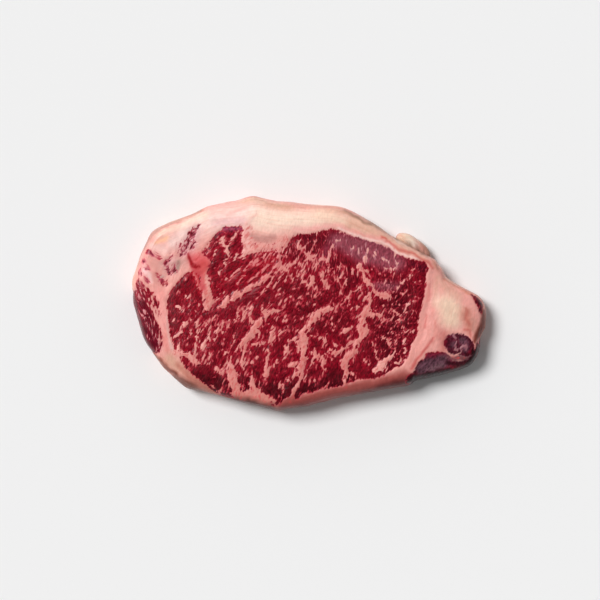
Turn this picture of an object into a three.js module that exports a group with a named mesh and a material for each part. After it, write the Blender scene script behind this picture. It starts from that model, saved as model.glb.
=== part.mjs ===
// A raw sirloin steak: one slice of marbled beef that lies flat, with its cut face up.
// Millimetres, +Z up. X runs along the slice, from the thin edge on the left to the fat tail on
// the right, and Y runs towards the fat cap. The origin is under the middle, on the flat underside.
import * as THREE from "three";

// Driving dimensions
const THICKNESS = 20; // at the eye muscle
const WIDEST_HEIGHT = 7.5; // where the side bulges out the furthest
const FOOT_INSET = 2.6; // how far the side tucks in again at the underside
const EDGE_SQUARENESS = 2.3; // superellipse exponent of the side: 2 is an ellipse, more is squarer
const SPINE_LEFT = -58; // ends of the line that the side is inset towards
const SPINE_RIGHT = 62;

// The outer edge seen from above, anticlockwise from the end of the tail: x, y and the width of
// the rounded rim there.
const OUTLINE = [
  [99.6, -11, 8], // end of the fat tail
  [98.5, 1, 7],
  [90, 7.2, 6],
  [79, 14, 6],
  [74, 20, 4], // notch between tail and cap
  [70, 25, 4],
  [54.5, 33.8, 6],
  [37.5, 44.3, 7],
  [19, 53.2, 8],
  [-7, 56.5, 10], // fat cap
  [-20, 57.9, 10],
  [-30, 60, 10],
  [-41, 57.5, 9],
  [-54, 55.5, 8],
  [-68, 49.5, 7],
  [-84.5, 42.5, 6],
  [-92, 34, 6],
  [-97.5, 20, 6],
  [-99.6, 9, 6], // thin left edge
  [-97.5, -4, 5],
  [-91, -24.5, 5],
  [-82, -36, 6],
  [-69, -47.5, 8],
  [-57, -49.8, 7],
  [-38, -56, 5],
  [-20, -60, 6], // lower edge
  [-6, -58.8, 6],
  [20, -52.6, 6],
  [54, -47.5, 7],
  [62, -43.5, 7],
  [86, -37.6, 7], // small muscles under the tail
  [94.5, -31, 6],
  [98, -19, 7],
];

// Broad rises and hollows of the cut face: centre, half widths, turn in degrees, and rise.
const SWELLS = [
  { name: "eye", x: -18, y: -6, rx: 70, ry: 38, turn: -8, rise: 1.0 },
  { name: "cap", x: -14, y: 47, rx: 46, ry: 10, turn: -4, rise: 0.9 },
  { name: "seam under cap", x: 34, y: 31, rx: 30, ry: 3.5, turn: -24, rise: -0.6 },
  { name: "seam beside tail", x: 67, y: 0, rx: 4, ry: 24, turn: -14, rise: -1.1 },
  { name: "tail", x: 82, y: -3, rx: 13, ry: 12, turn: 0, rise: 1.6 },
  { name: "small round muscle", x: 87, y: -24, rx: 7, ry: 6, turn: 0, rise: 0.9 },
  { name: "groove over it", x: 79, y: -31, rx: 14, ry: 2.5, turn: 12, rise: -1.0 },
  { name: "left muscle", x: -90, y: -6, rx: 5, ry: 20, turn: 14, rise: 0.6 },
  { name: "seam beside it", x: -79, y: -4, rx: 4, ry: 26, turn: 10, rise: -0.7 },
];
const END_DROP = 1.4; // how much lower the cut face lies at its two ends
const TAIL_DROP = 1.8; // and at the tail on top of that
const TAIL_START = 62;
const TAIL_FULL = 88;

// A lobe of fat that hangs out low on the side, under the right end of the cap
const LOBE = { x: 59.2, y: 31.2, z: 5.5, along: 11.5, out: 6.6, up: 7 };
const LOBE_DIRECTION = new THREE.Vector2(0.88, -0.475);

// Unevenness of the side: waves a turn, phase, and how far each moves it
const SIDE_WAVES = [
  [9, 0.4, 0.35],
  [17, 1.9, 0.25],
  [31, 4.1, 0.15],
];

// Mesh density
const AROUND = 136;
const FACE_RINGS = 12;
const UPPER_RINGS = 10;
const LOWER_RINGS = 5;
const BASE_RINGS = 2;

const edge = new THREE.CatmullRomCurve3(
  OUTLINE.map(([x, y, rim]) => new THREE.Vector3(x, y, rim)),
  true,
  "catmullrom",
  0.5,
);

// The height of the cut face over a point.
function faceHeight(x, y) {
  let z = THICKNESS - END_DROP * (x / 100) ** 2;
  z -= TAIL_DROP * THREE.MathUtils.smoothstep(x, TAIL_START, TAIL_FULL);
  for (const { x: cx, y: cy, rx, ry, turn, rise } of SWELLS) {
    const offset = new THREE.Vector2(x - cx, y - cy);
    offset.rotateAround(new THREE.Vector2(), -THREE.MathUtils.degToRad(turn));
    z += rise * Math.exp(-((offset.x / rx) ** 2) - (offset.y / ry) ** 2);
  }
  return z;
}

// The level direction from a point of the edge into the slice.
function inwards(point) {
  const spine = THREE.MathUtils.clamp(point.x, SPINE_LEFT, SPINE_RIGHT);
  return new THREE.Vector2(spine - point.x, -point.y).normalize();
}

// How far the hanging lobe pushes the side out at a point of the edge and a height.
function lobeReach(point, z) {
  const offset = new THREE.Vector2(point.x - LOBE.x, point.y - LOBE.y);
  if (offset.length() > 2 * LOBE.along) return 0;
  const along = offset.dot(LOBE_DIRECTION) / LOBE.along;
  const up = (z - LOBE.z) / LOBE.up;
  return LOBE.out * Math.sqrt(Math.max(0, 1 - along ** 2 - up ** 2));
}

// How far the side waves out or in at a share u of the way round.
function sideWave(u) {
  return SIDE_WAVES.reduce(
    (sum, [turns, phase, size]) => sum + size * Math.sin(2 * Math.PI * turns * u + phase),
    0,
  );
}

// A point of the side. angle is 90 degrees at the cut face, 0 at the widest place and -90 at the
// underside.
function sidePoint(u, angle) {
  const point = edge.getPoint(u);
  const power = 2 / EDGE_SQUARENESS;
  const level = Math.cos(angle) ** power;
  const rise = Math.abs(Math.sin(angle)) ** power;
  const towards = inwards(point);
  const inset = (angle > 0 ? point.z : FOOT_INSET) * (1 - level);
  const top = faceHeight(point.x + towards.x * point.z, point.y + towards.y * point.z);
  const z = angle > 0 ? WIDEST_HEIGHT + (top - WIDEST_HEIGHT) * rise : WIDEST_HEIGHT * (1 - rise);
  const out = lobeReach(point, z) + sideWave(u) * level;
  return new THREE.Vector3(
    point.x + towards.x * (inset - out),
    point.y + towards.y * (inset - out),
    z,
  );
}

// The rings of the closed surface, from the cut face's middle round the side to the underside's.
function rings() {
  const around = Array.from({ length: AROUND }, (_, i) => i / AROUND);
  const quarter = Math.PI / 2;
  const made = [];
  for (let j = 1; j < FACE_RINGS; j++) {
    const share = j / FACE_RINGS;
    made.push(
      around.map((u) => {
        const rim = sidePoint(u, quarter);
        const [x, y] = [rim.x * share, rim.y * share];
        return new THREE.Vector3(x, y, faceHeight(x, y));
      }),
    );
  }
  for (let j = 0; j <= UPPER_RINGS; j++) {
    made.push(around.map((u) => sidePoint(u, quarter * (1 - j / UPPER_RINGS))));
  }
  for (let j = 1; j <= LOWER_RINGS; j++) {
    made.push(around.map((u) => sidePoint(u, (-quarter * j) / LOWER_RINGS)));
  }
  const foot = made[made.length - 1];
  for (let j = 1; j < BASE_RINGS; j++) {
    const share = 1 - j / BASE_RINGS;
    made.push(foot.map((p) => new THREE.Vector3(p.x * share, p.y * share, 0)));
  }
  return made;
}

// Joins neighbouring rings with triangles and closes both ends with a fan.
function closedSurface(loops, topPoint, basePoint) {
  const points = [topPoint, ...loops.flat(), basePoint];
  const at = (ring, i) => 1 + ring * AROUND + (i % AROUND);
  const last = loops.length - 1;
  const faces = [];
  for (let i = 0; i < AROUND; i++) {
    faces.push(0, at(0, i), at(0, i + 1));
    for (let ring = 0; ring < last; ring++) {
      faces.push(at(ring, i), at(ring + 1, i), at(ring + 1, i + 1));
      faces.push(at(ring, i), at(ring + 1, i + 1), at(ring, i + 1));
    }
    faces.push(at(last, i), points.length - 1, at(last, i + 1));
  }
  const geometry = new THREE.BufferGeometry().setFromPoints(points);
  geometry.setIndex(faces);
  return geometry;
}

// The slice as one closed solid, with its box centred on the origin and its underside at z = 0.
function steakGeometry() {
  const top = new THREE.Vector3(0, 0, faceHeight(0, 0));
  const geometry = closedSurface(rings(), top, new THREE.Vector3(0, 0, 0));
  geometry.computeBoundingBox();
  const middle = geometry.boundingBox.getCenter(new THREE.Vector3());
  geometry.translate(-middle.x, -middle.y, 0);
  geometry.computeVertexNormals();
  return geometry;
}

const rawBeef = new THREE.MeshStandardMaterial({
  color: 0xb0555a, // lean and marbling together, as seen from a step away
  roughness: 0.42,
  metalness: 0,
});

const steak = new THREE.Mesh(steakGeometry(), rawBeef);
steak.name = "steak";

const group = new THREE.Group();
group.add(steak);

export default group;
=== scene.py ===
"""A raw sirloin steak: one slice of marbled beef that lies with its cut face up.

Lengths are millimetres until they reach Blender, +Z is up, X runs along the slice from its
thin edge to the fat tail, and Y runs towards the fat cap. The slice is one closed skin. Its
form repeats the solid's: an outline with a rounded rim, a cut face with broad swells, a side
that bulges low down and a flat underside. On it come the low relief of seams and fat, and the
fields that tell the material where lean, fat, veins and stains are, and where shade is
painted into the colour along the southern edges and in the crease by the lobe.
"""

import logging
from dataclasses import dataclass
from enum import Enum, IntEnum
from typing import Any, Sequence

import bpy
import numpy as np
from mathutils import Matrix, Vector


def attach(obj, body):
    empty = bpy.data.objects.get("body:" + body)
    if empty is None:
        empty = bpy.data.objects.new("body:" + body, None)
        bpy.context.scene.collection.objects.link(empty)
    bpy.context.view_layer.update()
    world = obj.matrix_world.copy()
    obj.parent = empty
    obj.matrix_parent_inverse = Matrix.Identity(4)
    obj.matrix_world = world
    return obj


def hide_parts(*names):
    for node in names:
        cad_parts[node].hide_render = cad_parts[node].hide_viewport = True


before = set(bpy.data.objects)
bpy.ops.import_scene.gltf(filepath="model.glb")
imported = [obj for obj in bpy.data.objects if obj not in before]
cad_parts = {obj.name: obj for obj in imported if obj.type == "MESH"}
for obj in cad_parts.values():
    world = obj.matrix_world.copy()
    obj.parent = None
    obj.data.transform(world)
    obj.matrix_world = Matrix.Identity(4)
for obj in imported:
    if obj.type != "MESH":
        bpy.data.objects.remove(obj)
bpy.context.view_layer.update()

MM = 0.001  # metres in a millimetre
WIDE = 4.5  # mm, width from which a stain runs on down the side
LOG = logging.getLogger("steak")
Array = np.ndarray
Socket = bpy.types.NodeSocket
Stroke = tuple[tuple[float, float, float], ...]  # x, y and width of each knot, in mm
Outline = tuple[tuple[float, float], ...]  # x and y of each knot, in mm
Pair = tuple[float, float]
Triple = tuple[float, float, float]


class Seed(IntEnum):
    """The seeds of the noises, so that no two noises are alike."""

    UNEVEN = 3
    PITTED = 4
    LAYERS = 5
    FOLDS = 6
    WANDER_X = 11
    SHIVER_X = 12
    WANDER_Y = 13
    SHIVER_Y = 14
    TORN_X = 21
    TORN_Y = 22
    PINK_PATCH = 31
    CREAM_PATCH = 32
    BROWN_PATCH = 33


def smoothstep(value: Array, low: float, high: float) -> Array:
    """Goes smoothly from 0 at low to 1 at high: t squared times (3 - 2t)."""
    t = np.clip((value - low) / (high - low), 0.0, 1.0)
    return t * t * (3 - 2 * t)


def soft_max(a: Array, b: Array, blend: float) -> Array:
    """The larger of two fields, rounded off over a width of blend where they cross."""
    h = np.clip(0.5 + 0.5 * (a - b) / blend, 0.0, 1.0)
    return b + (a - b) * h + blend * h * (1 - h)


def lattice_noise(points: Array, size: float, seed: int) -> Array:
    """Smooth noise of about -1 to 1: random values on a cubic lattice, eased between corners.

    Args:
        points: rows of x, y, z in millimetres.
        size: the lattice's spacing in millimetres.
        seed: picks the random values.

    Returns:
        One value for each row.
    """
    period = 32  # corners after which the values repeat
    table = np.random.default_rng(seed).uniform(-1, 1, (period,) * 3)
    cell = np.floor(points / size).astype(int)
    t = points / size - cell
    t = t * t * (3 - 2 * t)
    total = np.zeros(len(points))
    for corner in np.ndindex(2, 2, 2):
        share = np.prod(np.where(corner, t, 1 - t), axis=1)
        total += share * table[tuple(((cell + corner) % period).T)]
    return total


def stretched_noise(points: Array, sizes: Sequence[float], seed: int) -> Array:
    """Lattice noise whose lumps have the given sizes in mm along the three coordinates."""
    return lattice_noise(points * [1 / size for size in sizes], 1.0, seed)


def closed_curve(knots: Array, share: Array) -> Array:
    """A closed uniform Catmull-Rom curve through the knots.

    Args:
        knots: one row for each knot.
        share: how far round each point lies, 0 to 1, in equal steps from knot to knot.

    Returns:
        One row for each share.
    """
    count = len(knots)
    place = (share % 1.0) * count
    index = np.floor(place).astype(int)
    t = (place - index)[:, None]
    before, a, b, after = (knots[(index + step) % count] for step in (-1, 0, 1, 2))
    start, end = 0.5 * (b - before), 0.5 * (after - a)
    return (
        a + start * t + (3 * (b - a) - 2 * start - end) * t**2 + (2 * (a - b) + start + end) * t**3
    )


def inside_distance(x: Array, y: Array, knots: Sequence[tuple[float, float]]) -> Array:
    """How deep points lie inside a smooth closed outline.

    That is the distance to the nearest of its short straight stretches. A point is inside
    when a level line from it crosses the outline an odd number of times.

    Args:
        x: the points' x in mm.
        y: their y.
        knots: the outline's knots, either way round.

    Returns:
        Depths in mm, below zero outside.
    """
    knots = np.array(knots, float)
    stretches = 4 * len(knots)  # four straight ones from knot to knot
    ring = closed_curve(knots, np.arange(stretches) / stretches)
    nearest = np.full(x.shape, np.inf)
    crossings = np.zeros(x.shape, int)
    for (ax, ay), (bx, by) in zip(ring, np.roll(ring, -1, axis=0)):
        dx, dy = bx - ax, by - ay
        t = np.clip(((x - ax) * dx + (y - ay) * dy) / (dx * dx + dy * dy), 0, 1)
        nearest = np.minimum(nearest, np.hypot(x - ax - t * dx, y - ay - t * dy))
        if ay != by:
            crossings += ((ay > y) != (by > y)) & (x < ax + (y - ay) / dy * dx)
    return np.where(crossings % 2 == 1, nearest, -nearest)


def stroke_depth(x: Array, y: Array, stroke: Stroke) -> Array:
    """How deep points lie inside a stroke whose width changes along it.

    Each stretch is a tapered capsule: half the width, blended between its two ends, less the
    distance to the line between them. A stroke of one knot is a round dot.

    Args:
        x: the points' x in mm.
        y: their y.
        stroke: its knots.

    Returns:
        Depths in mm, below zero outside.
    """
    depth = np.full(x.shape, -np.inf)
    for (ax, ay, aw), (bx, by, bw) in zip(stroke[:-1] or stroke, stroke[1:] or stroke):
        dx, dy = bx - ax, by - ay
        t = np.clip(((x - ax) * dx + (y - ay) * dy) / max(dx * dx + dy * dy, 1e-6), 0, 1)
        distance = np.hypot(x - ax - t * dx, y - ay - t * dy)
        depth = np.maximum(depth, 0.5 * (aw + (bw - aw) * t) - distance)
    return depth


def srgb(code: str) -> Array:
    """The three shares of an sRGB hex colour, as it is written."""
    return np.array([int(code[i : i + 2], 16) / 255 for i in (1, 3, 5)])


def linear(shares: Array) -> Array:
    """Turns sRGB shares into linear light."""
    shares = np.asarray(shares, float)
    return np.where(shares <= 0.04045, shares / 12.92, ((shares + 0.055) / 1.055) ** 2.4)


def linear_rgba(code: str) -> tuple[float, float, float, float]:
    """A socket's colour from an sRGB hex value."""
    return (*linear(srgb(code)).tolist(), 1.0)


def add_node(
    tree: bpy.types.NodeTree,
    kind: str,
    inputs: dict[Any, Any] | None = None,
    **settings: Any,
) -> bpy.types.Node:
    """Adds a node with its settings, and links or fills its inputs.

    Args:
        tree: the node tree that it goes into.
        kind: the node's type name, without the ShaderNode in front.
        inputs: values or output sockets, by the input's name or number.
        settings: properties of the node.

    Returns:
        The new node.
    """
    node = tree.nodes.new("ShaderNode" + kind)
    for name, value in settings.items():
        setattr(node, name, value)
    for key, value in (inputs or {}).items():
        if isinstance(value, bpy.types.NodeSocket):
            tree.links.new(value, node.inputs[key])
        else:
            node.inputs[key].default_value = value
    return node


@dataclass(frozen=True)
class Swell:
    """A broad rise or hollow of the cut face: its centre, half widths, turn and rise."""

    x: float
    y: float
    rx: float
    ry: float
    turn: float
    rise: float

    def height(self, x: Array, y: Array) -> Array:
        """The rise times e to minus the squared elliptical distance."""
        turn = np.radians(self.turn)
        along = (x - self.x) * np.cos(turn) + (y - self.y) * np.sin(turn)
        across = (y - self.y) * np.cos(turn) - (x - self.x) * np.sin(turn)
        return self.rise * np.exp(-((along / self.rx) ** 2) - (across / self.ry) ** 2)


@dataclass(frozen=True)
class SliceForm:
    """The main form of the slice, by the same sizes and formulas as the solid's."""

    thickness: float = 20.0
    widest_height: float = 7.5
    foot_inset: float = 2.6
    edge_squareness: float = 2.3
    spine: Pair = (-58.0, 62.0)
    end_drop: float = 1.4
    tail_drop: float = 1.8
    tail_slope: Pair = (62.0, 88.0)
    # x, y and the rounded rim's width, anticlockwise from the end of the tail
    outline: tuple[tuple[float, float, float], ...] = (
        (99.6, -11, 8), (98.5, 1, 7), (90, 7.2, 6), (79, 14, 6), (74, 20, 4), (70, 25, 4),
        (54.5, 33.8, 6), (37.5, 44.3, 7), (19, 53.2, 8), (-7, 56.5, 10), (-20, 57.9, 10),
        (-30, 60, 10), (-41, 57.5, 9), (-54, 55.5, 8), (-68, 49.5, 7), (-84.5, 42.5, 6),
        (-92, 34, 6), (-97.5, 20, 6), (-99.6, 9, 6), (-97.5, -4, 5), (-91, -24.5, 5),
        (-82, -36, 6), (-69, -47.5, 8), (-57, -49.8, 7), (-38, -56, 5), (-20, -60, 6),
        (-6, -58.8, 6), (20, -52.6, 6), (54, -47.5, 7), (62, -43.5, 7), (86, -37.6, 7),
        (94.5, -31, 6), (98, -19, 7),
    )  # fmt: skip
    swells: tuple[Swell, ...] = (
        Swell(-18, -6, 70, 38, -8, 1.0),  # eye muscle
        Swell(-14, 47, 46, 10, -4, 0.9),  # fat cap
        Swell(34, 31, 30, 3.5, -24, -0.6),  # seam under the cap
        Swell(67, 0, 4, 24, -14, -1.1),  # seam beside the tail
        Swell(82, -3, 13, 12, 0, 1.6),  # tail
        Swell(87, -24, 7, 6, 0, 0.9),  # small round muscle
        Swell(79, -31, 14, 2.5, 12, -1.0),  # groove over it
        Swell(-90, -6, 5, 20, 14, 0.6),  # left muscle
        Swell(-79, -4, 4, 26, 10, -0.7),  # seam beside it
    )
    # the lobe of fat that hangs out low on the side
    lobe_centre: Triple = (59.2, 31.2, 5.5)
    lobe_along: float = 11.5
    lobe_out: float = 6.6
    lobe_up: float = 7.0
    lobe_direction: Pair = (0.88, -0.475)
    # waves of the side: how many a turn, phase and size
    side_waves: tuple[tuple[float, float, float], ...] = (
        (9, 0.4, 0.35),
        (17, 1.9, 0.25),
        (31, 4.1, 0.15),
    )

    def edge(self, share: Array) -> Array:
        """Rows of x, y and rim width at shares of the way round."""
        return closed_curve(np.array(self.outline, float), share)

    def face_height(self, x: Array, y: Array) -> Array:
        """The cut face's height: thickness, less the drops at the ends, plus each swell."""
        z = self.thickness - self.end_drop * (x / 100) ** 2
        z = z - self.tail_drop * smoothstep(x, *self.tail_slope)
        return z + sum(swell.height(x, y) for swell in self.swells)

    def inwards(self, edge: Array) -> Array:
        """The level unit direction from each point of the edge towards the slice's spine."""
        towards = np.column_stack((np.clip(edge[:, 0], *self.spine) - edge[:, 0], -edge[:, 1]))
        return towards / np.linalg.norm(towards, axis=1)[:, None]

    def lobe_reach(self, edge: Array, z: Array) -> Array:
        """How far the lobe pushes the side out: half an ellipse along the edge and up it."""
        offset = edge[:, :2] - self.lobe_centre[:2]
        along = offset @ np.array(self.lobe_direction) / self.lobe_along
        up = (z - self.lobe_centre[2]) / self.lobe_up
        near = np.hypot(*offset.T) < 2 * self.lobe_along
        return near * self.lobe_out * np.sqrt(np.maximum(0, 1 - along**2 - up**2))

    def side_wave(self, share: Array) -> Array:
        """How far the side waves out or in: a sum of sines round the slice."""
        return sum(
            size * np.sin(2 * np.pi * turns * share + phase)
            for turns, phase, size in self.side_waves
        )

    def side(self, share: Array, angle: float) -> Array:
        """One ring of the side.

        A superellipse from the rim at 90 degrees, by the widest place at 0, to the foot at
        -90. Its level part shrinks the inset and its upright part gives the height.

        Args:
            share: how far round each point lies.
            angle: the place on the superellipse, in radians.

        Returns:
            Rows of x, y, z.
        """
        edge = self.edge(share)
        towards = self.inwards(edge)
        power = 2 / self.edge_squareness
        level = np.cos(angle) ** power
        rise = abs(np.sin(angle)) ** power
        rim = edge[:, :2] + towards * edge[:, 2:]
        if angle > 0:
            inset = edge[:, 2] * (1 - level)
            top = self.face_height(*rim.T)
            z = self.widest_height + (top - self.widest_height) * rise
        else:
            inset = np.full(len(edge), self.foot_inset * (1 - level))
            z = np.full(len(edge), self.widest_height * (1 - rise))
        out = self.lobe_reach(edge, z) + self.side_wave(share) * level
        return np.column_stack((edge[:, :2] + towards * (inset - out)[:, None], z))


@dataclass(frozen=True)
class SkinGrid:
    """The points of the closed skin: a sheet on the cut face, rings down the side, a sheet below."""

    form: SliceForm
    columns: int = 300  # squares along the cut face
    rows: int = 176  # squares across it
    upper_rings: int = 18
    lower_rings: int = 10
    coarse_columns: int = 75  # squares along the first, coarse sheet
    coarse_steps: int = 500  # smoothing steps on that sheet
    fine_steps: int = 40  # and on each finer one
    samples: int = 6001  # places where the outline's length is measured
    # the sheet's corners as shares of the way round the outline's 33 knots: lower left,
    # lower right, the notch before the tail, upper left
    corners: tuple[float, float, float, float] = (21.3 / 33, 31 / 33, 1 + 2.2 / 33, 1 + 15.2 / 33)

    def shares(self) -> Array:
        """Places round the slice of the sheet's edge points, evenly spaced on each of its sides."""
        fine = np.linspace(self.corners[0], self.corners[0] + 1, self.samples)
        step = np.diff(self.form.edge(fine)[:, :2], axis=0)
        length = np.concatenate(([0], np.cumsum(np.hypot(*step.T))))
        ends = np.interp((*self.corners, self.corners[0] + 1), fine, length)
        counts = (self.columns, self.rows, self.columns, self.rows)
        stops = [
            start + (end - start) * np.arange(count) / count
            for start, end, count in zip(ends[:-1], ends[1:], counts)
        ]
        return np.interp(np.concatenate(stops), length, fine) % 1.0

    @staticmethod
    def patch(ring: Array, columns: int, rows: int) -> Array:
        """Spans a ring with a Coons patch, whose points lie by row and column.

        That is the two blends of opposite sides, less the blend of the four corners. The ring
        runs anticlockwise from the lower left corner.
        """
        low = ring[: columns + 1]
        right = ring[columns : columns + rows + 1]
        high = ring[columns + rows : 2 * columns + rows + 1][::-1]
        left = np.vstack((ring[2 * columns + rows :], ring[:1]))[::-1]
        s = np.linspace(0, 1, columns + 1)[None, :, None]
        t = np.linspace(0, 1, rows + 1)[:, None, None]
        sheet = (1 - t) * low[None] + t * high[None] + (1 - s) * left[:, None] + s * right[:, None]
        corners = (1 - s) * low[0] + s * low[-1], (1 - s) * high[0] + s * high[-1]
        return sheet - (1 - t) * corners[0] - t * corners[1]

    @staticmethod
    def smoothed(sheet: Array, steps: int) -> Array:
        """Evens a sheet out and unfolds it, by steps of Winslow's equations.

        Each inner point goes to the mean of its neighbours along and across. The ones along
        weigh as the square of the spacing across, and the other way round, and the twist of
        the four corners about it is taken off.
        """
        for _ in range(steps):
            along = (sheet[1:-1, 2:] - sheet[1:-1, :-2]) / 2
            across = (sheet[2:, 1:-1] - sheet[:-2, 1:-1]) / 2
            alpha = (across**2).sum(-1, keepdims=True)
            gamma = (along**2).sum(-1, keepdims=True)
            beta = (along * across).sum(-1, keepdims=True)
            twist = sheet[2:, 2:] - sheet[2:, :-2] - sheet[:-2, 2:] + sheet[:-2, :-2]
            total = alpha * (sheet[1:-1, 2:] + sheet[1:-1, :-2]) - 0.5 * beta * twist
            total += gamma * (sheet[2:, 1:-1] + sheet[:-2, 1:-1])
            sheet[1:-1, 1:-1] = total / (2 * (alpha + gamma))
        return sheet

    def sheet(self, ring: Array, columns: int, rows: int) -> Array:
        """Spans a ring with a smooth sheet of squares, coarse at first and then ever finer.

        Args:
            ring: the edge points, anticlockwise from the lower left corner.
            columns: squares along.
            rows: squares across.

        Returns:
            Points by row and column.
        """
        step = columns // self.coarse_columns
        sheet = self.patch(ring[::step], columns // step, rows // step)
        sheet = self.smoothed(sheet, self.coarse_steps)
        while step > 1:
            step //= 2
            finer = self.patch(ring[::step], columns // step, rows // step)
            between = 0.5 * (sheet[:, 1:] + sheet[:, :-1])
            finer[2:-1:2, 2:-1:2] = sheet[1:-1, 1:-1]
            finer[2:-1:2, 1:-1:2] = between[1:-1]
            wide = np.zeros((sheet.shape[0], finer.shape[1], finer.shape[2]))
            wide[:, ::2], wide[:, 1::2] = sheet, between
            finer[1:-1:2, 1:-1] = 0.5 * (wide[1:] + wide[:-1])[:, 1:-1]
            sheet = self.smoothed(finer, self.fine_steps)
        return sheet

    @staticmethod
    def sheet_ids(first: int, columns: int, rows: int) -> tuple[Array, Array]:
        """The squares of a sheet and its edge ring, anticlockwise, as vertex numbers."""
        ids = first + np.arange((rows + 1) * (columns + 1)).reshape(rows + 1, columns + 1)
        squares = np.stack((ids[:-1, :-1], ids[:-1, 1:], ids[1:, 1:], ids[1:, :-1]), -1)
        ring = np.concatenate((ids[0, :-1], ids[:-1, -1], ids[-1, :0:-1], ids[:0:-1, 0]))
        return squares.reshape(-1, 4), ring

    def build(self) -> tuple[Array, Array, Array, Array]:
        """Makes the whole skin.

        Returns:
            Points, faces as four vertex numbers (the last two alike in a triangle), the length
            of the way down the side from the rim to each point, and each point's outward share:
            1 on the cut face, 0 on the side and -1 on the underside.
        """
        share = self.shares()
        rim = self.form.side(share, np.pi / 2)
        top = self.sheet(rim[:, :2], self.columns, self.rows)
        top = np.dstack((top, self.form.face_height(top[..., 0], top[..., 1])))
        squares, loop = self.sheet_ids(0, self.columns, self.rows)
        points, faces = [top.reshape(-1, 3)], [squares]
        down = [np.zeros(top.shape[0] * top.shape[1])]
        upright = [np.ones(top.shape[0] * top.shape[1])]
        above, reach, previous = loop, np.zeros(len(share)), rim
        total = len(down[0])
        angles = [0.5 * np.pi * (1 - j / self.upper_rings) for j in range(1, self.upper_rings + 1)]
        angles += [-0.5 * np.pi * j / self.lower_rings for j in range(1, self.lower_rings)]
        for step, angle in enumerate(angles):
            if step == self.upper_rings:
                share, previous, reach = share[::2], previous[::2], reach[::2]
            ring = self.form.side(share, angle)
            reach = reach + np.linalg.norm(ring - previous, axis=1)
            ids = total + np.arange(len(share))
            faces.append(self.band(above, ids))
            points.append(ring)
            down.append(reach)
            upright.append(np.zeros(len(share)))
            above, previous, total = ids, ring, total + len(share)
        foot = self.form.side(share, -np.pi / 2)
        base = self.sheet(foot[:, :2], self.columns // 2, self.rows // 2)
        base = np.dstack((base, np.zeros(base.shape[:2])))
        squares, loop = self.sheet_ids(total, self.columns // 2, self.rows // 2)
        faces += [self.band(above, loop), squares[:, ::-1]]
        points.append(base.reshape(-1, 3))
        down.append(np.full(base.shape[0] * base.shape[1], reach.mean()))
        upright.append(-np.ones(base.shape[0] * base.shape[1]))
        return tuple(np.concatenate(rows) for rows in (points, faces, down, upright))

    @staticmethod
    def band(above: Array, below: Array) -> Array:
        """Joins two rings with squares, or with three triangles for two steps to one."""
        if len(above) == len(below):
            return np.stack((above, below, np.roll(below, -1), np.roll(above, -1)), -1)
        a, b, c = above[::2], above[1::2], np.roll(above[::2], -1)
        d, e = below, np.roll(below, -1)
        parts = ((a, d, b, b), (b, d, e, e), (b, e, c, c))
        return np.concatenate([np.stack(part, -1) for part in parts])


class Tissue(Enum):
    """What a stain or a patch of painted shade colours; the value is the colour attribute's name."""

    LEAN = "lean_tone"
    THIN = "thin_tone"  # fat so thin that lean shines through
    FAT = "fat_tone"


# Most patches are the meat's own tones and stains. The dark bands along the south, south-west and
# south-east edges are partly painted shade, and so are the lobe's shade and crease.
@dataclass(frozen=True)
class StainAndShade:
    """A patch or line of another colour: a tapered stroke with a soft edge.

    A wide stain runs on down the side, as does one with runs set, and the others stay on
    the cut face.
    """

    colour: str
    strength: float
    soft: float  # mm to either side of the stroke's edge
    stroke: Stroke
    runs: bool = False

    def share(self, x: Array, y: Array, side: Array) -> Array:
        """How much of the colour each point takes; side is 1 where the skin is the slice's side."""
        depth = stroke_depth(x, y, self.stroke)
        stays = not self.runs and max(width for *_, width in self.stroke) < WIDE
        return self.strength * smoothstep(depth, -self.soft, self.soft) * (1 - stays * side)


@dataclass(frozen=True)
class Bias:
    """A soft round area where a setting of the marbling differs."""

    x: float
    y: float
    rx: float
    ry: float
    amount: float

    def at(self, x: Array, y: Array) -> Array:
        """The amount times e to minus the squared elliptical distance."""
        return self.amount * np.exp(-(((x - self.x) / self.rx) ** 2) - ((y - self.y) / self.ry) ** 2)


@dataclass(frozen=True)
class Turn:
    """A soft area where the grain leans more or less: extra lean and half widths."""

    x: float
    y: float
    rx: float
    ry: float
    lean: float

    def shift(self, x: Array, y: Array) -> Array:
        """The sideways shift of the grain's lines, from the middle line up to each point.

        The lean fades as e to minus a square along X and as one less the squared hyperbolic
        tangent along Y, whose sum along Y is the tangent itself.
        """
        level = np.tanh((y - self.y) / self.ry) + np.tanh(self.y / self.ry)
        return self.lean * self.ry * level * np.exp(-(((x - self.x) / self.rx) ** 2))


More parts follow.
